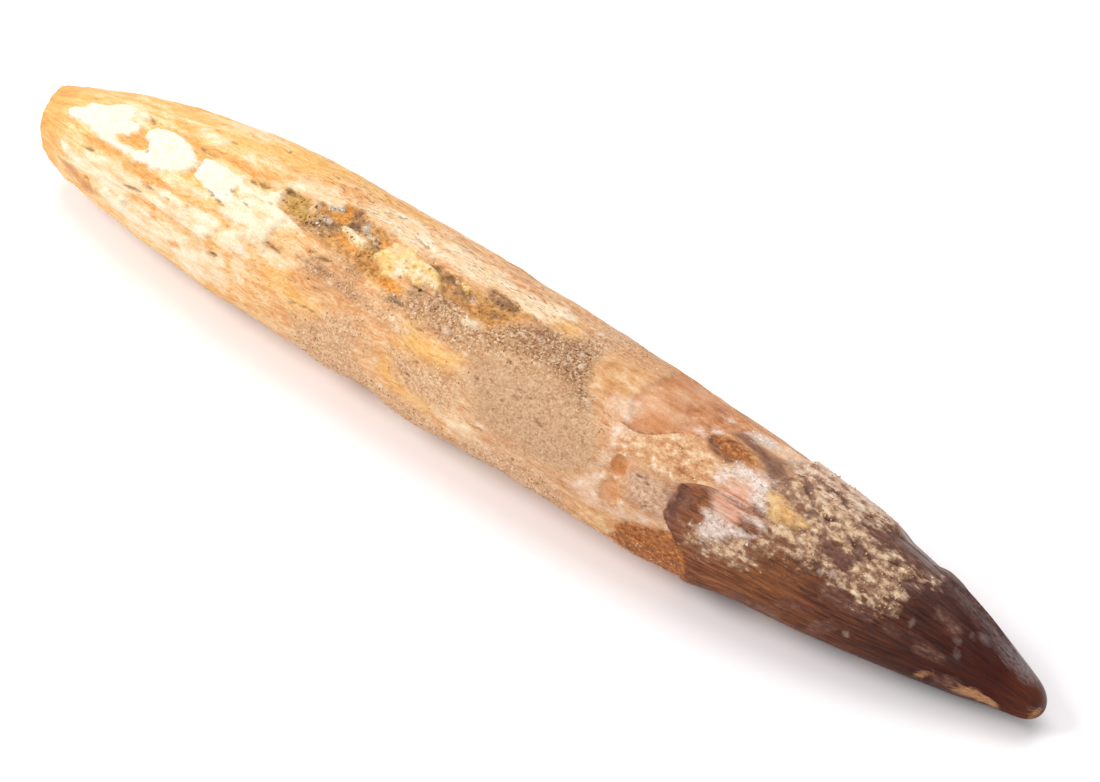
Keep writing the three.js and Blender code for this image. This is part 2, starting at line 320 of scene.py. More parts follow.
draw("orange", 1.2,
     [(-51.2, 27), (-50.4, 29.5), (-49.5, 26.5), (-48.6, 28.5), (-47.4, 27.5), (-47.3, 21), (-48.3, 17.5),
      (-49, 11), (-49.7, 9), (-49.5, 14), (-49.7, 19), (-50.6, 23)],
     [(-42.4, 8), (-41.3, 9.5), (-40.5, 12), (-40.2, 18), (-40.3, 25), (-40.4, 31), (-41.8, 32.5),
      (-41.2, 28), (-40.9, 22), (-41.2, 15), (-42, 11)],
     [(-47.5, -1), (-44, 1), (-41, 3), (-38, 0), (-35, 1), (-32, -2), (-31, 2), (-34, 7), (-38, 7),
      (-42, 6), (-45, 4), (-47.3, 3)],
     [(-55, 37), (-52, 36), (-50, 37.5), (-49.8, 40.5), (-53, 42.5), (-55.5, 41)],
     [(-49, 43), (-46.5, 42), (-44.5, 39.5), (-43, 42), (-40, 45.5), (-36.5, 43.5), (-34, 40), (-32.8, 41),
      (-34.5, 44), (-38, 47), (-42, 46.5), (-45, 50), (-48.5, 48)],
     [(-47, 63), (-44, 61), (-40, 62), (-37.3, 62.5), (-37, 64.5), (-40, 64.5), (-43.5, 66), (-46.5, 69)],
     [(-43.6, 70), (-42.2, 69), (-42, 73), (-43.4, 75)],
     [(-40.6, 83), (-39, 79.5), (-38.4, 82), (-39.8, 86)],
     [(-54.6, 92), (-58, 84), (-57, 77), (-54.6, 78), (-53, 76), (-52.4, 84), (-53, 95)],
     [(-34.6, 26), (-33.8, 25.2), (-32.6, 26.8), (-31.9, 29.6), (-32.8, 30), (-34, 28.6)],
     [(-31, 54), (-30.2, 52.5), (-29.5, 54), (-30, 56)],
     [(-35.6, 64), (-34.4, 63), (-33.6, 66), (-34.6, 67)],
     [(-22.2, 12), (-20.6, 13), (-19.8, 14), (-19.6, 17.5), (-21, 18.5), (-22.4, 16)],
     [(-18.2, 15), (-16.9, 17), (-15.6, 20), (-15.3, 24), (-17.5, 26), (-18.4, 21)],
     [(-23.9, -8), (-22.9, -6.5), (-22.3, -2), (-22.1, 3), (-22.6, 6.5), (-24.6, 6), (-26, 4.5),
      (-25.9, 2.6), (-24.2, 2), (-23.2, 0), (-23.7, -4)])

# Minerals in and round the hollows along the top: rust, amber, olive, grey, near-black and yellow.
draw("rusty", 1.2,
     [(-30.4, 5), (-28.5, 2.4), (-26, 2.2), (-24.2, 0.5), (-23.9, -8), (-22.6, -11), (-21, -6), (-19.6, -5),
      (-17, -3.5), (-16.4, 5), (-16.8, 14), (-15, 20), (-12.4, 22), (-12, 27), (-15, 29.5), (-18, 27),
      (-22, 25.5), (-26, 22.5), (-29.3, 18.5)],
     [(-12.4, -2.5), (-9, -5), (-7.6, -2.5), (-5.4, -4), (-4.8, -8.4), (-2, -8.4), (0.2, -6.4), (1.6, -7),
      (0.2, -2), (-0.6, 5), (-2, 14), (-3.4, 18), (-6, 14), (-8.6, 12), (-9.2, 9), (-10.2, 3), (-12, 0.5)])
draw("olive", 0.8,
     [(-30.3, 5), (-29.5, 3.5), (-28.5, 3), (-27.6, 4), (-26.9, 4.5), (-26.6, 9), (-26, 13), (-26.3, 17),
      (-28, 18), (-29.4, 16), (-29.2, 11), (-30, 7.5)],
     [(-18.5, 10), (-17.2, 12), (-17, 15), (-18, 15.5), (-19, 13)])
draw("dun", 1.8,
     [(-25.8, 7), (-24.5, 6.5), (-22.8, 7), (-22.3, 10), (-22.4, 13), (-23.3, 15), (-23.5, 20), (-25, 22),
      (-26.2, 20), (-26.2, 13)],
     [(-20.4, 0), (-19.3, -0.5), (-18.6, 2), (-17.6, 4), (-17.2, 8), (-17.3, 12), (-18.6, 12), (-19.6, 8),
      (-20.2, 6)],
     [(-12, 18.5), (-10.6, 18), (-9.2, 20), (-9.6, 24), (-12, 25)],
     [(-13.2, 29), (-11.2, 29), (-11, 34), (-13.2, 34)])
draw("tawny", 1.6,
     [(-26.2, 3), (-25.6, 2), (-24, 2.5), (-22.4, 5.5), (-22.2, 8), (-24, 8), (-26, 8)],
     [(-19.9, -5), (-17.6, -4.5), (-16.9, -1.5), (-16.7, 4), (-16.9, 7.5), (-17.8, 4), (-18.4, 0),
      (-19.8, -1.5)],
     [(-17.6, 18.5), (-16, 19), (-15.2, 22), (-15.2, 25), (-17.5, 26.5), (-18.6, 22)],
     [(-10.1, 0.5), (-8.8, 1.5), (-8.6, 6), (-9.2, 8.5), (-10, 6)],
     [(-5.2, 3), (-4.5, 1), (-3.5, 1.5), (-1.8, 1.5), (-0.2, 3), (-0.8, 6), (-1.8, 8), (-2, 12), (-2.5, 16),
      (-3.6, 13), (-4.8, 16), (-5.2, 12)])
draw("vivid", 1.2,
     [(-24, -8.5), (-23.2, -8), (-22.9, -3), (-22.4, 2), (-22.1, 5), (-23, 5.5), (-24.4, 3.5), (-24.3, 1),
      (-23.4, -1), (-23.8, -5)],
     [(-22.2, 12.5), (-20.6, 12.8), (-19.8, 13.8), (-19.5, 16.5), (-20.5, 18.3), (-21.6, 17.3),
      (-22.4, 15)],
     [(-15.3, 21), (-13.6, 20.5), (-12.8, 24), (-12.4, 27), (-14, 29), (-15.4, 27)],
     [(-29, 17), (-28.4, 16.8), (-28.3, 19), (-28.9, 19.3)],
     [(-17.9, 0), (-16.9, 1), (-16.8, 7), (-17.6, 6)])
draw("umber", 1.6,
     [(-22.9, -10.8), (-21.8, -9.5), (-21, -5), (-20.7, -1), (-21, 3), (-21.8, 5), (-22.2, 2), (-22.5, -3)],
     [(-23.6, 8), (-22.3, 8), (-22.1, 12), (-23.2, 12.5)],
     [(-25.3, 13.5), (-24.5, 13.5), (-24.5, 18.5), (-25.3, 20.5)],
     [(-24.3, 16.6), (-23.7, 16.6), (-23.7, 19.5), (-24.3, 19.5)],
     [(-12, -2.5), (-10.4, -3.4), (-9, -4.5), (-8.2, -2), (-8.4, 1.5), (-9.6, 1.2), (-11.6, 1)],
     [(-8.5, 2), (-6, 1.5), (-5.7, 4), (-5.8, 7), (-8.4, 6.5)],
     [(-5.1, -5), (-4.6, -8), (-3, -8.5), (-1.4, -6.5), (-1.2, -3), (-2.5, 0), (-4, 1), (-5, 0)],
     [(-3, 3), (-2, 3.5), (-2.6, 8), (-3.2, 7)])
draw("mauve", 1.6,
     [(-26.5, 19), (-25.5, 21.5), (-24.5, 22), (-23, 19), (-21.5, 18), (-20, 18.5), (-19, 20.5), (-20, 24),
      (-22, 25), (-24, 24), (-26, 23)],
     [(-58.2, 84), (-57, 79), (-55.2, 77.5), (-54.4, 82), (-55, 90), (-57, 92)],
     [(-54.2, 87), (-53, 84), (-51.6, 88), (-52.6, 95), (-54.2, 94)])
draw("black", 1.2,
     [(-21.9, 4), (-21.2, 2.5), (-20.3, 3.2), (-20.1, 5.8), (-20.8, 7), (-21.6, 6.5)],
     [(-22.6, -10), (-21.9, -9.5), (-21.7, -7), (-22.4, -7.3)],
     [(-18.2, 7.5), (-17.5, 7), (-17.1, 10), (-17.7, 11)],
     [(-9.5, -2.4), (-8.6, -2), (-8.5, 0.4), (-9.3, 0.2)],
     [(-30.2, 3.4), (-29.4, 3), (-29.3, 6), (-29.9, 6)])
draw("grey", 0.8,
     [(-20.9, -4.5), (-20.2, -4.5), (-19.9, 0), (-19.5, 4), (-20.1, 5), (-20.6, 1)],
     [(-25.2, 0.2), (-24.6, -1.8), (-24.2, -4.5), (-23.7, -4.2), (-24, -1), (-24.8, 1.4)],
     [(-25, 7), (-24.2, 6.6), (-23.6, 9), (-24, 11), (-24.8, 10)])
draw("yellow", 1.8,
     [(-17.3, 6), (-16.6, 3.5), (-15.6, 5.5), (-14.8, 2.5), (-13.6, 5), (-12.6, 1), (-11.4, 1.4),
      (-10.4, 3.5), (-9.8, 7), (-9, 10), (-9, 12.5), (-10.4, 14), (-11.4, 17), (-12.4, 15.5), (-13, 19.5),
      (-14, 18.5), (-14.4, 21.5), (-15.4, 22), (-15.5, 18), (-16.6, 17), (-17.4, 12)],
     [(-16.9, 1), (-16.2, -0.5), (-15.6, 0.8), (-16.2, 2.2)],
     [(-15, -1), (-13.9, -1.6), (-13.6, 0.4), (-14.6, 1)],
     [(-7.7, -2), (-6.8, -2), (-6.2, 0), (-6.3, 2), (-7.4, 1.5)],
     [(-22.1, 9), (-21.5, 7.5), (-20.5, 7), (-19.6, 8.5), (-19.3, 11), (-18.6, 13.5), (-19.3, 14.2),
      (-20.2, 13), (-21.2, 12), (-22, 11.5)])
draw("crumb", 0.8,
     [(-14.3, 6.5), (-13.4, 7), (-12.9, 11), (-13, 17), (-14, 20), (-14.6, 14)],
     [(-12.5, 7.5), (-11.4, 8), (-10.3, 10.5), (-9.5, 13), (-10.6, 14), (-12.2, 13.5)],
     [(-26.9, 4), (-26.2, 5), (-26.1, 8), (-26.6, 9.4), (-27, 7)],
     [(-19.6, 3), (-18.6, 3.5), (-18.3, 5.5), (-19.2, 6.2)],
     [(-22, 8.5), (-21.3, 7), (-20.2, 6.6), (-19.4, 8.5), (-18.8, 11.5), (-18.9, 13.5), (-20, 12.6),
      (-21, 11.5)],
     [(-4.8, 18), (-3.6, 16.5), (-2.9, 18), (-3.4, 21), (-4.6, 21.5)])

# Desert sand and the smooth fill of set mud.
draw("tanned", 1.5,
     [(-24, 36), (-21, 32), (-17.5, 31), (-16.4, 36), (-15, 44), (-17, 54), (-21, 56), (-24, 50)],
     [(9.6, -18), (12, -21), (15, -24), (15, -60), (9.4, -60)])
draw("sand", 1.6,
     [(-9, 14), (-7.5, 9.5), (-6, 8.5), (-5.2, 15), (-4.6, 18), (-2.5, 17), (-1.6, 11), (-0.5, 5), (1, 0),
      (2.2, -4.5), (3.4, -8), (4.5, -6.5), (5, -2.5), (5.6, -8), (7, -14), (8.8, -12), (8.9, -8), (9, -1),
      (9.3, 6), (9.9, 12), (10, 19), (8, 20.5), (5, 20), (2, 20.5), (0.5, 25), (-1, 30), (-2.5, 37),
      (-5, 38.5), (-8, 36.5), (-10.5, 36), (-12.7, 34.5), (-12.9, 31.5), (-11.5, 28.5), (-10.8, 24),
      (-9.6, 20)])
draw("brown_sand", 1.8,
     [(0.6, 4), (2, -3), (3.4, -7.4), (4.6, -5.6), (5.4, -9), (6.4, -13), (8.2, -12), (9.1, -8), (9.2, -1),
      (9.7, 6), (10.4, 14), (11.4, 20), (11.6, 26), (10.2, 26), (9, 20), (7, 18), (5.4, 19), (4, 15),
      (2.4, 15), (1, 12), (-0.4, 9)],
     [(-10.6, 20), (-9, 16.5), (-7.4, 12), (-5.6, 9), (-5.2, 13), (-6.6, 17), (-8.4, 22), (-10.4, 26),
      (-11.6, 29), (-12.8, 33), (-14, 32), (-12.4, 27)],
     [(-21.4, 25.5), (-19.6, 23.4), (-18, 24), (-16.6, 30), (-18, 33), (-20, 30)],
     [(-23.5, 38), (-21, 35.5), (-18.5, 36), (-16.5, 38.5), (-15.5, 43), (-17.5, 45), (-20.5, 43.5),
      (-23, 42)],
     [(-9.4, 9), (-8, 4), (-6, 2), (-5, 6), (-5, 14), (-7, 18), (-9, 16)])
draw("fine_sand", 2.5,
     [(-18.8, 37), (-17, 35.5), (-15, 37), (-13.2, 38), (-11.5, 41), (-9.5, 43), (-10, 47), (-13, 48),
      (-16, 46), (-18.5, 43)],
     [(-22.4, 80), (-20.5, 73), (-18.5, 62), (-16.5, 54), (-14.5, 55), (-13.5, 60), (-12.5, 68),
      (-14.5, 74), (-14, 88), (-11, 94), (-8, 94), (-4, 96), (-2, 104), (-4, 118), (-22, 118), (-23, 95)],
     [(9.8, 20), (11, 22), (12, 28), (13, 32), (14.2, 36), (13, 40), (11.5, 36), (10.5, 30), (9.5, 24)],
     [(-10, 63), (-8, 58), (-5, 57), (-3, 52), (-2, 47), (-0.6, 45), (0, 50), (-0.6, 58), (-1.5, 66),
      (-2, 74), (-3, 81), (-6, 81), (-9, 77)],
     [(5.4, -9), (5.8, -17), (6, -25), (5.5, -34), (5.8, -52), (13, -52), (14.6, -40), (14.6, -26),
      (12, -22), (9.4, -19), (9, -8)],
     [(-1, 98), (3, 86), (8, 82), (11, 82), (12, 88), (12, 112), (-1, 114)])
draw("fill", 2.0,
     [(0.5, 25), (2, 20.5), (5, 20), (10.4, 20), (12, 26), (12.6, 34), (14.2, 42), (14.8, 50), (15.2, 58),
      (14, 64), (12.5, 70), (10.5, 73), (7, 75), (4, 74), (1.5, 70), (0, 60), (-0.5, 50), (-1.5, 42),
      (-2.2, 38), (-1, 31)])

# Patches between the sand and the crown, with the scar of a lost flake and two oval pits.
draw("blush", 1.4,
     [(14.3, 6), (15.3, 4), (16, 8), (16.4, 13), (15.8, 17.5), (14.8, 14)],
     [(27.4, -26), (27.6, -34), (28.6, -44), (30.4, -46), (31.8, -38), (31.2, -27), (29.4, -24)],
     [(12.6, 76), (14.4, 66), (15, 57), (16.2, 58), (16.1, 68), (16.6, 76), (18.4, 80), (19, 84), (15, 84)],
     [(13, 10), (14.3, 7), (15.1, 10), (15.6, 16), (15.6, 20.5), (14.5, 21), (13.4, 18.5), (12.6, 15)],
     [(18.6, 74), (20, 71), (22.5, 69.5), (24, 70), (23, 74), (21.5, 77), (19.8, 80), (18.4, 80)],
     [(14.4, 22), (16.6, 23), (16.6, 27), (15.9, 33), (16.2, 41), (16, 50), (15.4, 53), (15.2, 46),
      (15.1, 38), (14.9, 30)])
draw("honey", 1.6,
     [(9.1, -8), (9.6, -14), (11.5, -16), (13, -19), (14.9, -18), (15, -14), (13.8, -10), (13.9, -3),
      (14.2, 3), (13.6, 8), (12, 8), (12.4, 13), (12.6, 16), (11.2, 16), (10.2, 13), (9.6, 1)],
     [(13.5, 88), (16, 84), (18.6, 86), (18.4, 96), (17.8, 112), (13, 116)])
draw("mottle", 1.6,
     [(14.5, 23), (17, 22.5), (18.6, 20), (20.4, 10), (21.2, 5), (22.8, 7), (24, 9), (26, 11), (27.4, 10),
      (27.4, 18), (26.6, 25), (26, 32), (24.4, 33.5), (23.6, 36), (23.2, 38.5), (21, 40), (19, 41),
      (18.2, 42), (17.6, 39), (16.6, 39.5), (16.2, 36), (15.2, 31)],
     [(16, 36), (18.2, 40), (18.8, 50), (18.4, 56), (18.8, 66), (18.6, 74), (17, 77), (16, 70), (16, 50)])
draw("grizzle", 1.8,
     [(18.6, 44), (20.5, 42), (23.5, 41), (23.8, 50), (23.6, 60), (24, 68), (21.5, 68), (19.6, 65),
      (18.7, 58), (18.4, 51)])
draw("flake", 0.6,
     [(14.4, 4), (14.8, -2), (14.3, -7), (15, -14), (14.9, -22), (15.2, -30), (14.5, -45), (17, -54),
      (21, -50), (22.6, -40), (24.2, -30), (24.4, -18), (23, -11), (22.6, -4), (21.2, 0), (20.9, 4),
      (20.4, 7), (19.8, 10), (19, 14), (18, 19), (16.8, 22), (15.4, 22), (15.4, 14), (14.9, 8)])
draw("russet", 1.4,
     [(19.6, 6), (19.2, -4), (17, -9), (17.4, -14), (19.5, -24), (21, -42), (24, -44), (24.4, -20),
      (23.2, -10), (22.6, -4), (21.2, 0), (20.7, 4)],
     [(15.6, 17), (16.6, 13), (17.2, 15), (17.6, 19), (16.6, 21.6), (15.6, 21.6)])
draw("oval", 0.25,
     [(16.5, 41.5), (17.1, 40), (17.7, 41.5), (18.1, 45), (18, 49.5), (17.7, 53.5), (17.3, 54.5),
      (16.8, 52.5), (16.4, 49), (16.3, 45)])
draw("pale_oval", 0.3,
     [(16.5, 60.5), (17, 58.5), (17.8, 56.5), (18, 60.5), (18.3, 64.5), (18.6, 68), (18.2, 72),
      (17.6, 75.5), (16.9, 75), (16.4, 71.5), (16.2, 66)])
draw("amber", 0.9,
     [(18.9, 92), (19.2, 85), (20.4, 80.5), (22, 77.5), (23.3, 74.5), (24.7, 74), (25.4, 79), (26.4, 84.5),
      (26.7, 92), (26.7, 112), (25, 125), (20, 122), (18.2, 106)],
     [(22.6, -3), (23.4, -8), (24.3, -10), (26, -11), (28.2, -9), (28.8, -5), (28, -1), (27.2, 3),
      (26.6, 7), (25.5, 8), (24.6, 6.5), (23.6, 4.5), (23, 1)])

# On the enamel: gaps in the crust, white rind, a window of dentine, crust, painted sheen and a tan chip.
draw("shadowed", 1.4,
     [(22.9, -2), (23.4, 2.6), (24.4, 5.6), (25.8, 7.4), (26.5, 5.8), (25, 4.4), (24, 1.4), (23.5, -3)],
     [(32.7, -27), (33.7, -27), (34, -23), (33, -22)],
     [(31.9, -18), (32.5, -17.5), (32.8, -14), (32.1, -14)],
     [(33, -13), (33.8, -12), (34.5, -5), (33.9, -3.6), (33.2, -7)],
     [(35, -23), (36.2, -27), (36.4, -22), (35.4, -20)],
     [(36.9, -21), (37.6, -20), (37.5, -17), (36.9, -17.6)],
     [(39, -29), (40.3, -28), (40.5, -23), (39.2, -23)], [(35.2, -1), (35.9, 0), (35.9, 11), (35.2, 11)],
     [(36.9, 2), (37.9, 0), (37.8, 4), (37.2, 8), (36.8, 7)],
     [(40.1, 4), (41.2, 3), (42, 6), (42.8, 6), (42.8, 13), (42, 19), (41, 15), (40.2, 12)],
     [(44, -1), (45.4, -2.6), (45.2, 1), (44.3, 4)], [(41.1, 41), (41.8, 40), (41.8, 46), (41.2, 46)],
     [(46, 9), (46.6, 3), (47.8, 2), (47.6, 12), (46.2, 12.6)],
     [(23.3, 38), (24.4, 37), (25.6, 41), (25.4, 46), (24.8, 50), (24.9, 56), (24.4, 64), (23.4, 62),
      (23.2, 50)],
     [(24.4, -20), (26, -24), (28.2, -21), (30, -21.5), (31.2, -15), (32, -8), (32, -3), (31, 0), (30.5, 3),
      (29.8, 2), (29.4, -4), (28.4, -7), (27, -11), (25.5, -14), (24.4, -15)],
     [(40.3, -12), (41.5, -22), (43, -26), (46, -30), (49, -30), (48.6, -20), (47.4, -12), (46.2, -8.5),
      (45, -7), (44, -11), (42.8, -6), (42, -7)],
     [(37.6, 17), (40.3, 15), (42, 22), (42.2, 35), (40, 35), (38.2, 31)],
     [(40.4, 46), (42.8, 44), (43.5, 49), (45.6, 53), (45.8, 60), (43, 60), (41, 58), (39.4, 52)],
     [(37, 75), (39.6, 75), (39.6, 80), (37.2, 81)], [(36.6, 84), (37.5, 84), (37.4, 92), (36.6, 92)],
     [(40.2, 88), (41.2, 80), (42.4, 76), (42.4, 84), (41.4, 92), (41.2, 106), (40, 106)],
     [(46.9, 53), (48.6, 54), (48.4, 59), (47, 58)], [(50, 55), (52.6, 54), (52.8, 64), (50.2, 64)],
     [(50, 12), (53, 12), (53, 24), (50.4, 22)], [(52.4, 84), (55, 78), (54.8, 90), (54, 106), (52.6, 106)],
     [(32, 98), (35.6, 94), (37, 102), (36, 118), (31, 118)])
draw("rind", 1.2,
     [(26.8, 4), (28.2, 0), (29.6, 0), (30, 3), (31, 2.5), (31.2, 8), (31, 12), (31.6, 17), (32.2, 23),
      (32.5, 27), (31.5, 26.5), (30.6, 24), (30, 20), (30.1, 14), (28.6, 13), (27.6, 15), (27.2, 20),
      (26.9, 25), (26.2, 22), (26, 16), (26.4, 10)],
     [(30.4, 35), (31.5, 31), (32.8, 31.5), (33.2, 34.5), (32.7, 38), (31.2, 37.5)],
     [(27, 42), (28, 44), (29.4, 46.5), (31.3, 43), (32.8, 43), (32.2, 47), (30.6, 51), (30.2, 56),
      (29.4, 60), (28.6, 65), (27.3, 64), (26.8, 59), (27.6, 53.5), (27.3, 49), (26.8, 45)],
     [(25.2, -25), (25.5, -34), (26.6, -38), (28, -36), (28.6, -30), (28, -25), (26.6, -22.5)],
     [(22.2, -28), (22.6, -33), (23.4, -31), (23, -27)],
     [(22.6, -8), (22.7, -11.5), (23.6, -10.5), (23.3, -8)],
     [(21.2, -4), (22, -5), (22.8, -3), (22.4, 0), (21.4, -1)])
draw("window", 0.8,
     [(27.5, 17), (28.3, 14.5), (29.7, 14.5), (30, 20), (30.8, 26), (32.6, 28.5), (33, 30.5), (31.2, 32.5),
      (30.2, 36), (30.4, 42), (29.5, 46), (28.5, 44), (27.5, 42), (26.9, 36), (26.6, 31), (27, 26)])
draw("marigold", 1.2,
     [(31.2, 8), (32.3, 7), (33.4, 11), (34.5, 12), (35.9, 14), (36.3, 19), (35.4, 23), (34.3, 24.5),
      (33.5, 28), (32.8, 27.5), (32, 21), (31.4, 15)],
     [(27.4, -7), (27.9, -8.5), (28.2, -6), (27.8, -4)], [(32, -12), (32.6, -13), (32.8, -7), (32.2, -6)])
draw("crust", 2.2,
     [(31.2, 1), (32, -4), (32.2, -9), (31.4, -16), (30.4, -24), (31.6, -40), (33, -54), (41.6, -54),
      (42, -36), (41.2, -24), (40.2, -20), (40, -13), (41.5, -7), (43, -7), (44.2, -13), (44.8, -9),
      (46.2, -8), (47, -9.5), (47.4, -2), (46.8, 0), (46.2, 2), (46, 8), (46.3, 14), (46.6, 19), (47.2, 22),
      (47, 27), (46, 30), (46, 34), (47.2, 37), (47, 41), (45.9, 43), (43.4, 45), (42.8, 41), (41.6, 42),
      (40, 42), (38.4, 41), (37.5, 42), (36.5, 40.5), (35, 38), (34.3, 43), (33.4, 50), (32.6, 49),
      (33, 42), (33.2, 34), (33, 28), (34.4, 24), (36, 22), (36.4, 16), (34.8, 11), (33.2, 9), (32.4, 5)],
     [(30.4, 53), (31.5, 52), (32.4, 57), (33, 58), (33.2, 62), (32.6, 64), (32.3, 70), (31, 70.5),
      (29.5, 71), (28.6, 73), (27.6, 75), (26.6, 73), (26.2, 65), (27, 61), (28.8, 61), (30, 58)],
     [(47.2, -20), (48.4, -21), (48.4, -13), (47.5, -13)])
# Painted sheen: a pale bluish-grey highlight painted over the upper side of the tip.
draw("painted_sheen", 1.5,
     [(43.5, -30), (48, -36), (60, -40), (61, -20), (60, 0), (57, -4), (54.5, -14), (51, -20), (47, -24)])
draw("tan_chip", 1.2,
     [(54.3, 110), (54.6, 100), (55, 92), (55.5, 86), (56.2, 84.5), (56.8, 82), (57.3, 84), (58, 89),
      (58.6, 95), (58.8, 104), (58.8, 120), (54.2, 120)],
     [(52.3, 82), (52.1, 88), (51.6, 96), (51, 108), (50.5, 108), (50.9, 98), (51.5, 90)],
     [(62.3, 60), (62.9, 50), (62.9, 120), (61.9, 118), (62, 80)])

marks["slits"] = depth_on([
    (15.3, 21.4, 16.8, 22, 0.22), (16.8, 22, 18, 19.4, 0.26), (18, 19.4, 19.4, 12.4, 0.2),
    (19.4, 12.4, 20.8, 5, 0.16), (-49.6, -2, -48.9, 2, 0.5), (-47.2, 25.5, -46.9, 29, 0.4),
    (-54.6, 49.5, -53.4, 47.8, 0.4), (-47.9, 61.3, -45.3, 58.3, 0.32), (-45.4, 52, -43.8, 51.6, 0.28),
    (-41.8, 51.6, -41.3, 51.2, 0.25), (-42, 6, -40.9, 7.6, 0.4), (-40.9, 7.6, -39.3, 8, 0.22),
    (-34.3, 12, -33.2, 12.6, 0.3), (-33.1, 11, -32, 11, 0.6), (-35.5, 24.4, -35, 24.8, 0.28),
    (-35.6, 28.3, -35.2, 28.8, 0.2), (-37.6, 32, -36.7, 33.8, 0.3), (-36.7, 33.8, -34.6, 36.6, 0.16),
    (-33.2, 27.6, -32.3, 28.6, 0.25), (-30.6, 19.8, -30.2, 20.3, 0.24), (-34.4, 70.2, -33.5, 69.8, 0.42),
    (-30.3, 5.4, -29.8, 5.6, 0.3), (-28.4, 42, -26.4, 44.2, 0.36), (-24.9, 40, -24.1, 40.1, 0.3),
    (-23.8, 39.9, -20.3, 39.6, 0.14), (-23.7, 34, -22.9, 31.4, 0.2), (-26.1, 27.4, -25.6, 27.2, 0.2),
    (-22.2, 33.5, -21.1, 32.3, 0.45), (-22.3, 49, -22.1, 48.4, 0.3), (-21.8, 51.8, -20, 51.4, 0.14),
    (-24.2, 55.6, -23.2, 55.2, 0.16), (-23.5, 70.8, -22.4, 68.2, 0.16), (-21.9, 68.6, -21.3, 67.4, 0.16),
    (-21, 68.2, -20.4, 67.8, 0.2), (-20.3, 80, -20.1, 80.4, 0.25), (-19.6, 80.4, -19.3, 80.2, 0.25),
    (-19.8, 90.4, -19.6, 88.8, 0.3), (-23.6, -23.8, -22.9, -22.4, 0.4), (-22.9, -22, -22.1, -21.8, 0.35),
    (-19.2, -24.4, -18.5, -23.6, 0.24), (-28.3, -38.5, -27.8, -37, 0.3), (-15.7, -13.9, -13.2, -10.6, 0.26),
    (-21.4, -12.6, -20.7, -12.2, 0.22), (-12.9, 31, -11.2, 32.6, 0.3), (-11.6, -1, -10.5, -0.8, 0.26),
    (-8.3, 22.6, -8, 23, 0.24), (-13.5, 18, -13.2, 18.2, 0.24), (-12, 18.6, -9.2, 16.8, 0.18),
    (-8.7, 39.6, -7.8, 39.2, 0.2), (-10.2, 59.2, -10, 60.6, 0.2), (-7.3, 58.2, -7, 58.6, 0.26),
    (-8, 69.8, -7.4, 70.6, 0.3), (-6.1, -20.8, -6.3, -19.2, 0.26), (-4.8, -8, -3, -8, 0.2),
    (-3, -8, -1, -6.2, 0.22), (0.4, -6.2, 2, -7.2, 0.18), (1.7, -11.2, 2, -10.8, 0.2),
    (0.4, -15.6, 1.6, -14, 0.14), (-0.4, 46.6, 0, 47.2, 0.22), (1.5, 26, 2.3, 27.8, 0.26),
    (3.1, 24, 3.2, 23.4, 0.24), (3.4, 23, 3.6, 22.6, 0.2), (1.1, 30, 1.3, 29.6, 0.2),
    (5.7, 39.4, 5.9, 40, 0.24), (4.2, 38.6, 4.9, 39, 0.2), (4.2, 43, 4.8, 44.6, 0.2),
    (7.3, 49.4, 8.2, 51.4, 0.24), (3.2, 50, 3.4, 50.6, 0.28), (5.6, 53.2, 5.8, 53.6, 0.2),
    (7.9, 78, 8.1, 78.4, 0.26), (6, 88, 6.3, 84.4, 0.42), (7.5, 88, 7.8, 88.6, 0.3),
    (9, 96.6, 9.2, 95.4, 0.36), (5, 106, 5.2, 103, 0.3), (1.4, 83, 1.6, 83.4, 0.2),
    (7.8, -6.2, 8, -4.8, 0.3), (1.5, 75.6, 2.1, 78, 0.2), (30, 9.4, 30.3, 9.8, 0.36),
    (27.2, 29.2, 33, 28, 0.12), (27.5, 27.6, 32.2, 27.2, 0.1), (28, 32, 31.6, 30.6, 0.1),
    (33.2, 27, 33.3, 37, 0.12), (33, -25.6, 33.8, -24.6, 0.5), (34.8, -21, 35.3, -20.8, 0.35),
    (35.6, -25, 36.3, -24.4, 0.5), (37, -19, 37.4, -18.4, 0.4), (39.2, -27, 40.4, -25, 0.7),
    (33.4, -11, 34.3, -4.6, 0.5), (32.2, -17, 32.5, -16, 0.3), (36, 0, 36.4, 5, 0.35),
    (37.1, 3, 37.7, 1.4, 0.4), (35.3, 7, 35.5, 10, 0.3), (40.4, 6, 40.9, 10, 0.5), (42.3, 8, 42.6, 12, 0.4),
    (41.7, 17, 42, 20, 0.35), (38.6, 3.4, 39.1, 3.6, 0.25), (27.6, 65.6, 28.1, 66.6, 0.3),
    (44.2, 2.6, 45.4, -1.6, 0.35), (46.1, 10, 46.6, 6, 0.3), (44.4, 30, 44.6, 22, 0.2),
    (20.4, 47.8, 20.8, 49, 0.2), (19.2, 47, 19.9, 46.4, 0.14), (21.2, 63, 21.4, 64, 0.2),
    (24.4, 5.2, 25, 6, 0.26), (23.1, -2.8, 23.4, 0, 0.4), (47.6, -7, 47.8, -11, 0.25),
    (9.6, 20.4, 10, 21, 0.2), (-58.4, -5.6, -57.2, -6.8, 0.3), (-39.9, -11, -39.1, -10.4, 0.4),
    (-34.6, -28, -34.1, -26.6, 0.5), (-53.6, 78, -52.8, 76.6, 0.4),
])
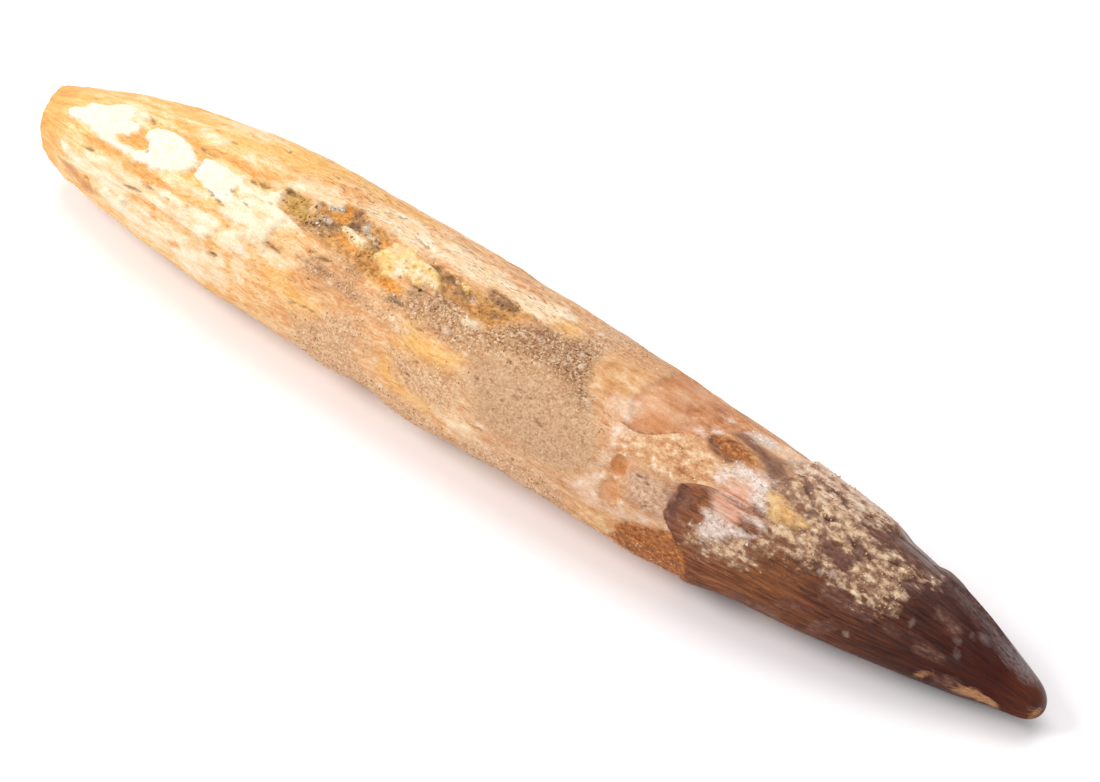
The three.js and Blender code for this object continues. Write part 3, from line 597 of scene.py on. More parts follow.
marks["specks"] = depth_on([
    (31, -41, 36, -40, 0.4), (36.5, -40, 41, -39.6, 0.6), (41.4, -40.4, 46.4, -40, 0.7),
    (47, -39.6, 50.4, -39.4, 0.5), (53.2, 25.6, 53.4, 30.4, 0.75), (48.95, 36.4, 48.95, 43.4, 0.36),
    (43.75, 80.6, 43.75, 86.6, 0.42), (54.6, -2, 55.6, 3, 0.7), (53.6, 38, 54.1, 48, 0.5),
    (54, 7, 54.2, 13, 0.4), (47, 25, 47.4, 23.6, 0.4), (36.9, 37, 37.1, 39.6, 0.5),
    (39.3, 41.6, 39.6, 42.4, 0.4), (40.3, 38, 40.8, 38.6, 0.5), (41.7, 43, 41.8, 44, 0.35),
    (44.7, 44, 44.8, 45, 0.3), (46.8, 40, 47, 41, 0.3), (-11.7, 42.4, -11.3, 43.2, 0.4),
    (-10.8, 46, -10.4, 45, 0.3), (-9.7, 44.6, -9.4, 44.4, 0.25), (-11.8, 73.4, -11.4, 72.2, 0.36),
    (-11.2, 95, -10.7, 92, 0.5), (-5.9, 60.8, -5.5, 61.2, 0.25), (-6.2, 30, -5.4, 32.6, 0.36),
    (-7.3, 24.2, -7.1, 24.8, 0.3), (-2.8, 37.6, -2.4, 37.4, 0.3), (-4.1, 30, -3.9, 30.2, 0.2),
    (1.5, 74.8, 2.2, 74.6, 0.5), (9, 102, 9.5, 105, 0.5), (6.6, 9.2, 6.8, 9.8, 0.4),
    (5.4, 9, 5.6, 9.4, 0.24), (3.2, 4.4, 3.4, 5.4, 0.3), (2.6, 3, 3, 4.4, 0.3), (8.3, 3, 8.1, 6, 0.26),
    (7.1, -4, 7.4, -2.6, 0.3), (8.4, -18, 8.7, -17, 0.36), (6.6, -28, 6.8, -25, 0.5),
    (0.9, 6, 1.1, 8, 0.24), (10.6, 21.6, 11.2, 23, 0.36), (11.9, 29.4, 12.1, 29.8, 0.26),
    (1.8, -31, 2.4, -28, 0.6), (2, -23.4, 3.2, -24, 0.3), (3, -27, 3.8, -25, 0.3),
    (-5.8, 3, -5.5, 6.2, 0.4), (-2.7, -27, -2.5, -26, 0.3), (-18.2, 68.6, -18, 69, 0.2),
    (-17.4, 66.6, -17.2, 66.8, 0.2), (-24.3, -4.6, -24, -3.6, 0.3), (-24.7, -1.6, -24.4, -0.6, 0.3),
    (-25, 0.8, -24.9, 1.2, 0.25), (-20.7, -0.6, -20.3, 0.4, 0.4), (-24.2, 8, -23.9, 10, 0.3),
    (-19.9, 43.2, -19.4, 43.6, 0.24), (-8.4, -1, -8.2, -0.2, 0.25),
])

# The enamel's edge: (turn, mm past ENAMEL_START).
ENAMEL_EDGE = [
    (-180, -0.6), (-120, 0), (-75, 5), (-60, 8), (-40, 8.6), (-20, 8.4), (-8, 7.4), (2, 6.8), (10, 6.2),
    (18, 5.4), (26, 4), (30, 2.2), (34, 0.6), (38, -0.1), (46, 0), (56, -0.3), (63, -0.2), (68, 0.6),
    (75, 1.4), (80, 1.8), (84, 2.4), (92, 2.8), (112, 2.7), (140, 0.8), (180, -0.6),
]
marks["enamel"] = np.clip(x - ENAMEL_START - along(ENAMEL_EDGE, turn), -FAR, FAR)
ragged["enamel"] = 0.5


def step(values, soft, start=0.0):
    """Smooth step from 0 to 1 as the values rise from start - soft to start + soft."""
    t = np.clip((values - start + soft) / (2 * soft), 0, 1)
    return t * t * (3 - 2 * t)


def inside(names, soft, start=0.0):
    """1 inside any of some marks and 0 outside them, with an edge soft in mm."""
    return step(np.max([marks[name] for name in names.split()], 0), soft, start)


# The side that lies away and underneath has the same finishes, in patches that follow slow noise:
# mark, lump size in mm, how far drawn out, seed, level above which it shows, and where.
FAR_SIDE_TURN = 208
STEEPNESS = 5          # mm of depth for each unit of noise
SEEN = 7               # mm of depth taken off on the side that is seen
far_side = 1 - step(np.abs(turn_between(turn, FAR_SIDE_TURN)), 14, 74)
whole_root = step(-x, 2, -19) * step(x, 2, -58)
crusty_crown = step(x, 2, 31) * (1 - step(x, 2, 49))
for name, size, stretch, seed, level, where in (
        ("sand", 7.0, 2.2, 11.3, 0.3, whole_root), ("fine_sand", 8.0, 2.0, 23.1, -0.02, whole_root),
        ("cream", 5.0, 3.0, 31.7, 0.0, whole_root), ("speckled", 5.0, 2.6, 47.9, 0.42, whole_root),
        ("gold", 6.0, 2.4, 53.3, 0.1, whole_root), ("fill", 9.0, 1.6, 61.1, 0.24, whole_root),
        ("rusty", 3.0, 2.6, 71.7, 0.5, whole_root), ("crust", 4.0, 1.8, 83.1, 0.1, crusty_crown),
        ("shadowed", 4.0, 1.8, 97.3, 0.12, crusty_crown)):
    patch = (lumps(size, stretch, seed) - level) * STEEPNESS - SEEN * (1 - far_side) - FAR * (1 - where)
    marks[name] = np.maximum(marks[name], np.clip(patch, -FAR, 3))

# The inner part of the pulp hollow, 3.9 mm in radius at its mouth, is packed with sand.
PACKED = 0.62
packed = np.clip(3.9 * (PACKED - reach), -FAR, FAR)
for name in ("sand", "brown_sand"):
    marks[name] = np.maximum(marks[name], packed)

wobble = 0.28 * lumps(1.3, 1.4, 3.1) + 0.2 * lumps(0.6, 1.2, 8.7)
for name, share in ragged.items():
    marks[name] = marks[name] + share * wobble
marks["enamel"] += 2.6 * wobble * (1 - step(turn, 8, 22)) * step(turn, 20, -140)
marks["crust"] = np.minimum(marks["crust"], 0.1 - 2 * marks["shadowed"])     # bare enamel in its gaps
marks["rind"] = np.minimum(marks["rind"], 0.2 - marks["window"])
marks["checked"] = step(-turn, 8, 7) * step(turn, 8, -48) * step(x, 5, -30) * step(-x, 4, -5)
marks["rim"] = step(turn, 6, 28) * step(-turn, 20, -130)

clouds = bpy.data.textures.new("clouds", "CLOUDS")
clouds.noise_scale = 1.0
clouds.noise_depth = 2
LEAST_WEIGHT = 0.004


def carve(weights, height, size=None, stretch=1.0):
    """Raises the weighted part of the tooth by a height in mm. With a size it goes up and down by
    that height instead, in lumps of the size in mm that are drawn out lengthwise."""
    group = tooth.vertex_groups.new(name="painted")
    for i in np.flatnonzero(weights > LEAST_WEIGHT):
        group.add([int(i)], float(weights[i]), "REPLACE")
    displace = tooth.modifiers.new("relief", "DISPLACE")
    displace.vertex_group = group.name
    displace.strength = height * MM
    displace.mid_level = 0.5 if size else 0.0
    if size:
        ruler = bpy.data.objects.new("ruler", None)
        bpy.context.scene.collection.objects.link(ruler)
        ruler.scale = (size * stretch * MM, size * MM, size * MM)
        bpy.context.view_layer.update()
        displace.texture = clouds
        displace.texture_coords = "OBJECT"
        displace.texture_coords_object = ruler
    bpy.context.view_layer.objects.active = tooth
    bpy.ops.object.modifier_apply(modifier="relief")
    tooth.vertex_groups.remove(tooth.vertex_groups["painted"])
    if size:
        bpy.data.objects.remove(ruler)


def patch_between(x_a, x_b, turn_a, turn_b):
    """Outline of a patch between two places and two turns."""
    return [(x_a, turn_a), (x_b, turn_a), (x_b, turn_b), (x_a, turn_b)]


on_enamel = inside("enamel", 0.2)
on_root = 1 - on_enamel
crown_fade = step(x, 3.5, ENAMEL_START + 5.5) * (1 - step(x, 3, TIP - 6))
chalked = step(np.maximum(marks["chalk"], marks["speckled"] - 0.3), 0.16) * on_root
grainy = inside("sand", 0.4) * on_root
set_sand = inside("fill fine_sand", 0.6) * on_root
pitted = inside("rusty umber olive dun grey", 0.4, 0.15) * on_root
crumbled = inside("yellow crumb", 0.25) * on_root
fibrous = on_root * (1 - chalked) * (1 - grainy) * (1 - set_sand) * (1 - pitted)
fluted = (0.5 + 0.5 * np.cos(np.radians(turn) * FLUTES)) * crown_fade * (0.6 + 0.4 * lumps(2.0, 3.0, 5.5))
notched = step(depth_in([patch_between(42.8, 47.6, -80, -32)]), 1.2)

# Relief, one layer on another: where, height in mm, and for rough layers the size of their lumps
# in mm and how far they are drawn out.
for where, *relief in (
        (on_root, 0.4, 3.4, 1.4),
        (fibrous, 0.26, 1.0, 9.0),
        (fibrous, 0.2, 0.5, 10.0),
        (chalked, 0.26),
        (chalked, 0.1, 0.8),
        (set_sand, 0.08, 0.5),
        (grainy, 0.22, 0.5),
        (pitted, -0.3),
        (pitted * (1 - inside("olive", 0.3)), 0.5, 0.6),
        (inside("black", 0.3) * on_root, -0.15),
        (crumbled, 0.2),
        (crumbled, 0.3, 0.9),
        (inside("flake", 0.2) * on_root, -0.22),
        (inside("oval pale_oval", 0.15), -0.22),
        (inside("orange", 0.3) * on_root, -0.15),
        (inside("mottle", 0.3) * on_root, 0.14, 0.7),
        (inside("slits", 0.12), -0.3),
        (inside("specks", 0.12), 0.12),
        (on_enamel * step(-x, 8, -TIP + 10), 0.28),
        (inside("window", 0.2) * on_enamel, -0.2),
        (inside("crust", 0.4) * on_enamel, 0.26, 0.7),
        (inside("crust rind", 0.4) * on_enamel, 0.12),
        (inside("tan_chip", 0.3), -0.2),
        (fluted, 0.04),
        (notched, -0.35)):
    carve(where, *relief)
for carina in CARINAE:
    ridge = np.exp(-(turn_between(turn, carina) / CARINA_WIDTH)**2)
    carve(ridge * crown_fade * (1 - notched), CARINA_HEIGHT)

# Low swellings of the lower edge: patches, softness and start of the rise, and height in mm.
for patches, soft, start, height in (
        ([patch_between(16.5, 29.5, 96, 152)], 3.0, 1.0, 0.55),
        ([patch_between(-12, -2, 98, 152), patch_between(-22, -16.5, 100, 150)], 3.0, 1.4, 0.5),
        ([patch_between(-63, -57, 104, 150)], 1.5, 0.5, 0.5)):
    carve(step(depth_in(patches), soft, start), height)

# The root end is broken at a slant, and the belly is worn flat where the tooth rests.
SLANT = 0.8            # mm, to either side of the middle
LONGEST_AT = -50       # the turn at which the root end reaches furthest, and by how many mm
REACHES_OUT = 0.35
co = read(tooth.data.vertices, "co", 3)
end_part = 1 - step(x, 4.0, ROOT_END + 5)
rim_part = np.minimum(1, np.hypot(points[:, 1], points[:, 2] - END_HEIGHT) / 4)
co[:, 0] += MM * end_part * (
    SLANT * rim_part * (1 - np.cos(np.radians(turn - LONGEST_AT))) - REACHES_OUT)
co[:, 2] = np.maximum(co[:, 2], 0)
tooth.data.vertices.foreach_set("co", co.ravel())
tooth.data.update()

# What the finish needs at every vertex: the marks, and the place as (x, round, round).
for name, values in marks.items():
    layer = tooth.data.attributes.new(name, "FLOAT", "POINT")
    layer.data.foreach_set("value", values.astype(np.float32))
round_about = np.stack([x, 9 * reach * np.sin(np.radians(turn)), 9 * reach * np.cos(np.radians(turn))], 1)
layer = tooth.data.attributes.new("lengthwise", "FLOAT_VECTOR", "POINT")
layer.data.foreach_set("vector", round_about.astype(np.float32).ravel())

# Wrapped map: along the tooth and round it, with the seam underneath.
HALF_WRAP = 184        # degrees: half a turn, and room for the faces that cross the seam
wrap = tooth.data.uv_layers.new(name="OFBake")
corner_vertex = read(tooth.data.loops, "vertex_index", kind=np.int64)
loop_start = read(tooth.data.polygons, "loop_start", kind=np.int64)
loop_count = read(tooth.data.polygons, "loop_total", kind=np.int64)
corner_turn = turn[corner_vertex]
first_turn = np.repeat(corner_turn[loop_start], loop_count)
face_turn = first_turn + turn_between(corner_turn, first_turn)
mean_turn = np.repeat(np.add.reduceat(face_turn, loop_start) / loop_count, loop_count)
face_turn += np.where(mean_turn > 180, -360, 0) + np.where(mean_turn < -180, 360, 0)
u = (x[corner_vertex] - ROOT_END + 1) / (TIP - ROOT_END + 2)
v = 0.01 + 0.98 * (face_turn + HALF_WRAP) / (2 * HALF_WRAP)
wrap.data.foreach_set("uv", np.stack([u, v], 1).astype(np.float32).ravel())

STUDIO_LIGHT = 1.3     # a surface looks this much lighter in the studio than its own shade


def colour(code):
    """Shade of a surface that looks like a six-figure screen colour in the studio's light."""
    parts = [int(code[i:i + 2], 16) / 255 for i in (0, 2, 4)]
    linear = [p / 12.92 if p <= 0.04045 else ((p + 0.055) / 1.055)**2.4 for p in parts]
    return tuple(p / STUDIO_LIGHT for p in linear) + (1.0,)


class Finish:
    """A material, built up node by node."""

    def __init__(self, name):
        self.material = bpy.data.materials.new(name)
        self.material.use_nodes = True
        self.tree = self.material.node_tree
        self.tree.nodes.clear()

    def node(self, kind, inputs=None, **settings):
        made = self.tree.nodes.new("ShaderNode" + kind)
        for key, value in settings.items():
            setattr(made, key, value)
        for key, value in (inputs or {}).items():
            self.set(made.inputs[key], value)
        return made

    def set(self, socket, value):
        if isinstance(value, bpy.types.NodeSocket):
            self.tree.links.new(value, socket)
        else:
            socket.default_value = value

    def maths(self, operation, a, b=0.0, c=0.0, clamp=False):
        return self.node("Math", {0: a, 1: b, 2: c}, operation=operation, use_clamp=clamp).outputs[0]

    def times(self, a, b):
        return self.maths("MULTIPLY", a, b)

    def attribute(self, name, output="Fac"):
        return self.node("Attribute", attribute_name=name).outputs[output]

    def clouds(self, space, size, stretch, detail, rough):
        """Noise from 0 to 1 with lumps of a size in mm, drawn out lengthwise."""
        mapping = self.node("Mapping", {"Vector": space, "Scale": (1 / size / stretch, 1 / size, 1 / size)})
        made = self.node("TexNoise", {"Vector": mapping.outputs["Vector"], "Scale": 1.0, "Detail": detail,
                                      "Roughness": rough})
        return made.outputs["Fac"]

    def grains(self, size):
        """Cells of a size in mm, each with a colour of its own."""
        place = self.node("TexCoord").outputs["Object"]
        mapping = self.node("Mapping", {"Vector": place, "Scale": (1000 / size,) * 3})
        return self.node("TexVoronoi", {"Vector": mapping.outputs["Vector"], "Scale": 1.0}).outputs["Color"]

    def part(self, shade, index):
        return self.node("SeparateColor", {0: shade}).outputs[index]

    def ramp(self, value, *stops):
        """Shades or strengths at stops from 0 to 1."""
        made = self.node("ValToRGB", {"Fac": value})
        points = made.color_ramp.elements
        while len(points) < len(stops):
            points.new(0.5)
        for point, (place, shade) in zip(points, stops):
            point.position = place
            point.color = colour(shade) if isinstance(shade, str) else (shade, shade, shade, 1)
        return made.outputs["Color"]

    def rise(self, value, start, end, low=0.0, high=1.0):
        """From low to high as a value goes from start to end."""
        return self.node("MapRange", {"Value": value, "From Min": start, "From Max": end, "To Min": low,
                                      "To Max": high}).outputs[0]

    def mix(self, under, over, mask):
        return self.node("Mix", {0: mask, 6: under, 7: over}, data_type="RGBA").outputs[2]

    def blend(self, under, over, mask):
        return self.node("Mix", {0: mask, 2: under, 3: over}, data_type="FLOAT").outputs[0]

    def edge(self, name, soft, rough=None, amount=0.0, start=0.0):
        """Mask of a mark: 1 inside, 0 outside, with a soft and, by some noise, a ragged edge in mm."""
        field = self.attribute(name)
        if rough is not None:
            field = self.maths("MULTIPLY_ADD", self.maths("SUBTRACT", rough, 0.5), amount, field)
        return self.maths("DIVIDE", self.maths("SUBTRACT", field, start - soft), 2 * soft, clamp=True)

    def surface(self, inputs):
        """The finished material, with a shader of some inputs."""
        skin = self.node("BsdfPrincipled", inputs)
        self.node("OutputMaterial", {"Surface": skin.outputs[0]})
        return self.material


# The noise that the finish is made of: lump size in mm, how far drawn out, detail and roughness.
# Wavy noise follows the fibres, which sway a little.
fossil = Finish("fossil")
straight = fossil.attribute("lengthwise", "Vector")
drift = fossil.node("TexNoise", {"Vector": fossil.node("Mapping", {
    "Vector": straight, "Scale": (0.12, 0.2, 0.2)}).outputs["Vector"], "Scale": 1.0, "Detail": 2.0})
sway = fossil.node("VectorMath", {0: drift.outputs["Color"], 1: (0.0, 3.0, 3.0)}, operation="MULTIPLY")
wavy = fossil.node("VectorMath", {0: straight, 1: sway.outputs[0]}, operation="ADD").outputs[0]
textures = {
    "fine": fossil.clouds(straight, 0.3, 1.2, 2.0, 0.6),
    "mid": fossil.clouds(straight, 1.0, 1.6, 3.0, 0.6),
    "fibre": fossil.clouds(wavy, 0.24, 4.5, 3.0, 0.6),
    "strand": fossil.clouds(wavy, 1.0, 3.2, 5.0, 0.7),
    "fleck": fossil.clouds(straight, 0.7, 1.4, 5.0, 0.66),
    "blotch": fossil.clouds(straight, 0.8, 1.0, 3.0, 0.55),
    "drifts": fossil.clouds(straight, 2.4, 1.5, 4.0, 0.6),
    "streak": fossil.clouds(straight, 0.4, 9.0, 5.0, 0.7),
    "dust": fossil.clouds(straight, 0.16, 1.2, 1.0, 0.5),
    "speck": fossil.clouds(straight, 0.45, 1.2, 4.0, 0.7),
    "scratch": fossil.clouds(wavy, 0.15, 6.0, 1.0, 0.5),
}
cell_shade = fossil.grains(0.2)
cell_height = fossil.part(cell_shade, 1)
textures["grain"] = fossil.part(cell_shade, 0)
place = fossil.part(straight, 0)
flank = fossil.part(straight, 1)
along_tooth = fossil.rise(place, ROOT_END, TIP)


def spread(texture, shades):
    """Ramp of some shades over a texture, wide for cells and narrow for clouds."""
    low, high = (0.0, 1.0) if texture == "grain" else (0.32, 0.68)
    gaps = len(shades) - 1
    stops = [(low + (high - low) * i / gaps, shade) for i, shade in enumerate(shades)]
    return fossil.ramp(textures[texture], *stops)


def ramp_along(places, shades):
    """Ramp of shades or strengths at places along the tooth, in mm."""
    stops = [((place - ROOT_END) / (TIP - ROOT_END), shade) for place, shade in zip(places, shades)]
    return fossil.ramp(along_tooth, *stops)


SHARP = 0.19           # mm; edges sharper than this are ragged by finer noise


def lay(under, layers):
    """Layers over what lies under them, from the lowest up: mark, texture, shades, softness of the
    edge and how ragged it is in mm, and strength."""
    for mark, texture, shades, soft, amount, strength in layers:
        rough = textures["fine"] if soft < SHARP else textures["fleck"]
        mask = fossil.times(fossil.edge(mark, soft, rough, amount), strength)
        under = fossil.mix(under, spread(texture, shades), mask)
    return under


# Dentine: pale strands over deeper ones, from gold at the root end to tan near the crown.
DENTINE_PLACES = (-61, -58, -40, -22, 0, 22)
deep = ramp_along(DENTINE_PLACES, ("E0984E", "EEA858", "EEA952", "DF985A", "CF8E5C", "BE7A4A"))
middle = ramp_along(DENTINE_PLACES, ("F4B668", "FCCC8C", "FACA80", "F3BC84", "E6B284", "D69A6C"))
pale = ramp_along(DENTINE_PLACES, ("FACE92", "FFF0CC", "FFEEC4", "FDE2B6", "F8D8AE", "ECC49A"))
worn_smooth = ramp_along((-48, -26), (0.45, 1.0))
pale_fibres = fossil.times(worn_smooth, fossil.ramp(textures["fibre"], (0.52, 0.0), (0.72, 0.75)))
deep_fibres = fossil.times(worn_smooth, fossil.ramp(textures["fibre"], (0.28, 0.7), (0.42, 0.0)))
base = fossil.mix(deep, middle, fossil.ramp(textures["strand"], (0.36, 0.0), (0.52, 1.0)))
base = fossil.mix(base, pale, fossil.ramp(textures["strand"], (0.5, 0.0), (0.72, 0.9)))
base = fossil.mix(base, pale, pale_fibres)
base = fossil.mix(base, deep, deep_fibres)
base = fossil.mix(base, ramp_along((-63, -30, 22), ("DC9C56", "BE8044", "A0683E")),
                  fossil.ramp(textures["scratch"], (0.6, 0.0), (0.72, 0.7)))

# Everything that lies on the root.
base = lay(base, (
    ("gold", "fibre", ("E8A24A", "F6BC66", "FDD286"), 1.2, 2.4, 0.78),
    ("cream", "strand", ("F2C48E", "FBE0B8", "FFF5DE"), 0.6, 3.4, 0.82),
    ("orange", "fibre", ("D98B44", "EFA95E", "F8C27C"), 0.25, 1.1, 0.9),
    ("mauve", "fleck", ("A8714C", "C48E68", "DDA87C"), 0.5, 1.4, 0.8),
    ("fine_sand", "grain", ("A87E58", "C69A72", "D6AA82", "E2BA92", "F2D6B2"), 1.1, 2.8, 0.72),
    ("tanned", "fibre", ("BA7C48", "D89A66", "E8B484"), 1.2, 2.4, 0.58),
    ("fill", "grain", ("BA9068", "C8A07A", "D0A882", "D6AE88", "DEBA96"), 1.1, 2.2, 0.88),
    ("sand", "grain", ("7E5638", "A67A54", "B78B64", "C39A72", "CFA984", "EDD4B4"), 0.8, 2.4, 0.8),
    ("brown_sand", "grain", ("7C5238", "9A6E50", "B08664", "C29A7A", "DEBC9A"), 0.9, 2.0, 0.72),
    ("honey", "mid", ("BE804C", "DAA068", "E8B884", "F6D6AC"), 0.8, 2.0, 0.82),
    ("mottle", "fleck", ("9C6444", "D09668", "EABC8E", "FEE8CC"), 0.4, 2.4, 0.88),
    ("grizzle", "speck", ("9A7660", "D0A688", "F0D4B2"), 0.6, 1.6, 0.85),
    ("speckled", "strand", ("F3C488", "FAE3BE", "FFF2D6", "FFF9E4"), 0.45, 1.8, 0.9),
    ("chalk", "fleck", ("F4E2C4", "FBF0D8", "FFF8E6"), 0.2, 1.0, 1.0),
    ("flake", "drifts", ("B86E3A", "CE8652", "DC9E70", "EABE98"), 0.2, 0.8, 0.88),
    ("russet", "fleck", ("985430", "BA7446", "D29263", "E5B894"), 0.9, 1.8, 0.8),
    ("rusty", "speck", ("94602F", "C08448", "DDA460", "EBC08C"), 0.35, 2.2, 0.9),
    ("blush", "fleck", ("E2B890", "F0CDB0", "FAE4D2"), 0.6, 1.4, 0.8),
    ("olive", "speck", ("98703C", "BE964E", "DAB470"), 0.3, 1.6, 0.9),
    ("dun", "speck", ("7A5C40", "A6805A", "C29C72", "E2CCAA"), 0.5, 2.4, 0.68),
    ("tawny", "speck", ("8A5A30", "BE8444", "E0A65C"), 0.5, 2.4, 0.8),
    ("vivid", "speck", ("CE8030", "E8983E", "F6B660"), 0.35, 1.8, 0.88),
    ("umber", "speck", ("5E3E2A", "8A5E3A", "B08052"), 0.4, 2.6, 0.85),
    ("grey", "speck", ("7E6C5C", "B0A294", "DAD0C4"), 0.25, 1.4, 0.75),
    ("black", "speck", ("3A2C22", "5A4432", "8A6A4A"), 0.3, 1.8, 0.85),
    ("yellow", "fleck", ("C08C48", "EEC076", "F8D694", "FEE8B8"), 0.25, 2.0, 0.95),
    ("crumb", "fleck", ("E4BE98", "F8E0BC", "FFF4DC"), 0.4, 1.6, 0.85),
    ("oval", "mid", ("B8683A", "C8804C", "D49462"), 0.12, 0.3, 0.95),
    ("pale_oval", "mid", ("CF8A55", "DEA06E", "E4B08A"), 0.14, 0.2, 0.9),
))

# Fine dark checks in the worn upper side of the root, and pocks in the fill.
checks = fossil.times(fossil.attribute("checked"),
                      fossil.ramp(textures["scratch"], (0.58, 0.0), (0.67, 0.7)))
base = fossil.mix(base, colour("94714C"), checks)
pocks = fossil.times(fossil.edge("fill", 1.0), fossil.ramp(textures["speck"], (0.54, 0.0), (0.66, 0.7)))
base = fossil.mix(base, colour("A07650"), pocks)

# Enamel: brown, darker and redder towards the tip, streaked lengthwise and stained in patches,
# with a dark rim at its edge on the root.
ENAMEL_PLACES = (23, 34, 40, 50, 58, 62)
enamel_deep = ramp_along(ENAMEL_PLACES, ("5A2E22", "5A301E", "40221B", "281715", "30100B", "421B11"))
enamel_pale = ramp_along(ENAMEL_PLACES, ("AE704C", "A66A40", "885034", "5E3022", "561E10", "7A3E22"))
enamel = fossil.mix(enamel_deep, enamel_pale, fossil.ramp(textures["streak"], (0.34, 0.0), (0.66, 1.0)))
enamel = fossil.mix(enamel, ramp_along((23, 36, 62), ("603A34", "4E362E", "362426")),
                    fossil.ramp(textures["mid"], (0.54, 0.0), (0.68, 0.8)))
on_crown = fossil.edge("enamel", 0.16, textures["fleck"], 1.2)
base = fossil.mix(base, enamel, on_crown)
rim_band = fossil.maths("SUBTRACT", on_crown, fossil.edge("enamel", 0.3, textures["fleck"], 1.2, 0.4))
enamel_rim = fossil.times(fossil.attribute("rim"), rim_band)
base = fossil.mix(base, colour("4A2C2A"), fossil.times(enamel_rim, 0.6))

# Patches that lie over the border of root and crown.
base = lay(base, (
    ("amber", "speck", ("50260F", "8E4C20", "B87034", "E2A260"), 0.3, 1.2, 0.92),
    ("shadowed", "fleck", ("503430", "744E42", "9C7660"), 0.5, 1.2, 0.8),
    ("crust", "fleck", ("6A483C", "9A745C", "C09A7E"), 0.9, 2.4, 0.66),
    ("window", "streak", ("C07850", "DCA082", "EABCA4", "F6DCCE"), 0.4, 1.2, 0.92),
    ("rind", "speck", ("BC9682", "E2C8B6", "F6E4D8", "FFF7F0"), 0.4, 1.5, 0.9),
    ("marigold", "fleck", ("CC9050", "EEBA74", "F8D49C"), 0.5, 1.6, 0.9),
))

# The crust that clings to the enamel: rosy above and creamy below, thinner towards the tip.
thickness = fossil.rise(place, 33, 44.5, 0.245, 0.04)
cover = fossil.maths("MINIMUM", fossil.times(fossil.attribute("crust"), 0.14), thickness)
cover = fossil.maths("ADD", cover, textures["blotch"])
cover = fossil.maths("MULTIPLY_ADD", fossil.maths("SUBTRACT", textures["fleck"], 0.5), 0.35, cover)
rosy = spread("fleck", ("9E7664", "C69E84", "DEBAA0", "EAD0B8", "F4E2D0"))
creamy = spread("fleck", ("9A7256", "C29A74", "DCB692", "EACCA8", "F2E0C2"))
crust_shade = fossil.mix(rosy, creamy, fossil.rise(flank, -4.0, 0.5))
crust_shade = fossil.mix(colour("9C745C"), crust_shade, fossil.ramp(cover, (0.46, 0.1), (0.68, 1.0)))
crust_mask = fossil.ramp(cover, (0.42, 0.0), (0.64, 0.95))
base = fossil.mix(base, crust_shade, crust_mask)

# The tan chip, a painted bluish-grey sheen on the tip, pale specks, a dusting all over, and dark slits.
base = fossil.mix(base, spread("speck", ("8A5838", "B8845A", "CCA078")),
                  fossil.edge("tan_chip", 0.3, textures["fleck"], 1.6))
# Painted sheen on the upper side of the tip: paler bluish grey in blotches, painted in place of a
# highlight.
painted_sheen = fossil.times(fossil.edge("painted_sheen", 1.0, textures["fleck"], 3.0),
                    fossil.ramp(textures["speck"], (0.4, 0.15), (0.6, 0.7)))
base = fossil.mix(base, ramp_along((44, 54, 60), ("86706C", "86706C", "B4A8AA")), painted_sheen)
specks = fossil.times(fossil.edge("specks", 0.24, textures["fine"], 0.5), 0.75)
base = fossil.mix(base, ramp_along((-60, 24, 40, 52), ("FFF0DA", "FBE8D0", "CDB8A8", "786460")), specks)
dust = fossil.ramp(textures["dust"], (0.3, 0.86), (0.5, 1.0), (0.7, 1.07))
base = fossil.node("Mix", {6: base, 7: dust, 0: 1.0}, data_type="RGBA", blend_type="MULTIPLY").outputs[2]
slit_shade = ramp_along((-60, -20, 10, 24, 60), ("8F7C58", "7A5C40", "80583A", "5A3A30", "3A2420"))
slits = fossil.times(fossil.edge("slits", 0.12, textures["fine"], 0.4), 0.68)
base = fossil.mix(base, slit_shade, slits)

# Roughness: dull dentine, sand and chalk, a smoother flake scar, and enamel that shines above.
gloss = 0.62
for mark, roughness, soft in (
        ("sand", 0.85, 0.3), ("chalk", 0.9, 0.2), ("flake", 0.45, 0.2), ("umber", 0.36, 0.2)):
    gloss = fossil.blend(gloss, roughness, fossil.edge(mark, soft))
enamel_gloss = fossil.blend(0.3, 0.9, fossil.rise(flank, 6.5, 8.8))
gloss = fossil.blend(gloss, fossil.blend(enamel_gloss, 0.7, crust_mask), on_crown)

# The finest relief: fibres, sand grains, and the enamel's slight unevenness.
bump = fossil.times(textures["fibre"], 0.6)
bump = fossil.blend(bump, cell_height, fossil.edge("sand", 0.3))
bump = fossil.blend(bump, fossil.times(cell_height, 0.4), fossil.edge("fill", 0.3))
bump = fossil.blend(bump, fossil.times(textures["fine"], 0.3), on_crown)
height = fossil.node("Bump", {"Height": bump, "Strength": 0.6, "Distance": 0.12 * MM})
tooth.data.materials.append(fossil.surface({
    "Base Color": base, "Roughness": gloss, "Normal": height.outputs["Normal"],
    "IOR": 1.5, "Specular IOR Level": 0.22,
}))

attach(tooth, "root")
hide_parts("tooth")


# ---------------------------------------------------------------------------
# Desert sand: thousands of loose quartz grains set in the hardened mud on the
# root, thickest along the upper band and the lower edge, each a worn crumb.
# ---------------------------------------------------------------------------
GRAINS = 4200
GRAIN_SIZE = (0.14, 0.26)
CORNER_REACH = (0.7, 1.25)     # of a crumb's corners, as parts of half its size
CORNER_SHIFT = 0.22
CRUMB_SHIFT = 0.2              # mm aside from its vertex
SAND_SHADES = ("9A6E4A", "B08460", "BE946C", "CDA880", "DDBD96", "F4E2C8", "B88052")
rng = np.random.default_rng(5)
tooth_co = read(tooth.data.vertices, "co", 3)
tooth_normals = read(tooth.data.vertex_normals, "vector", 3)


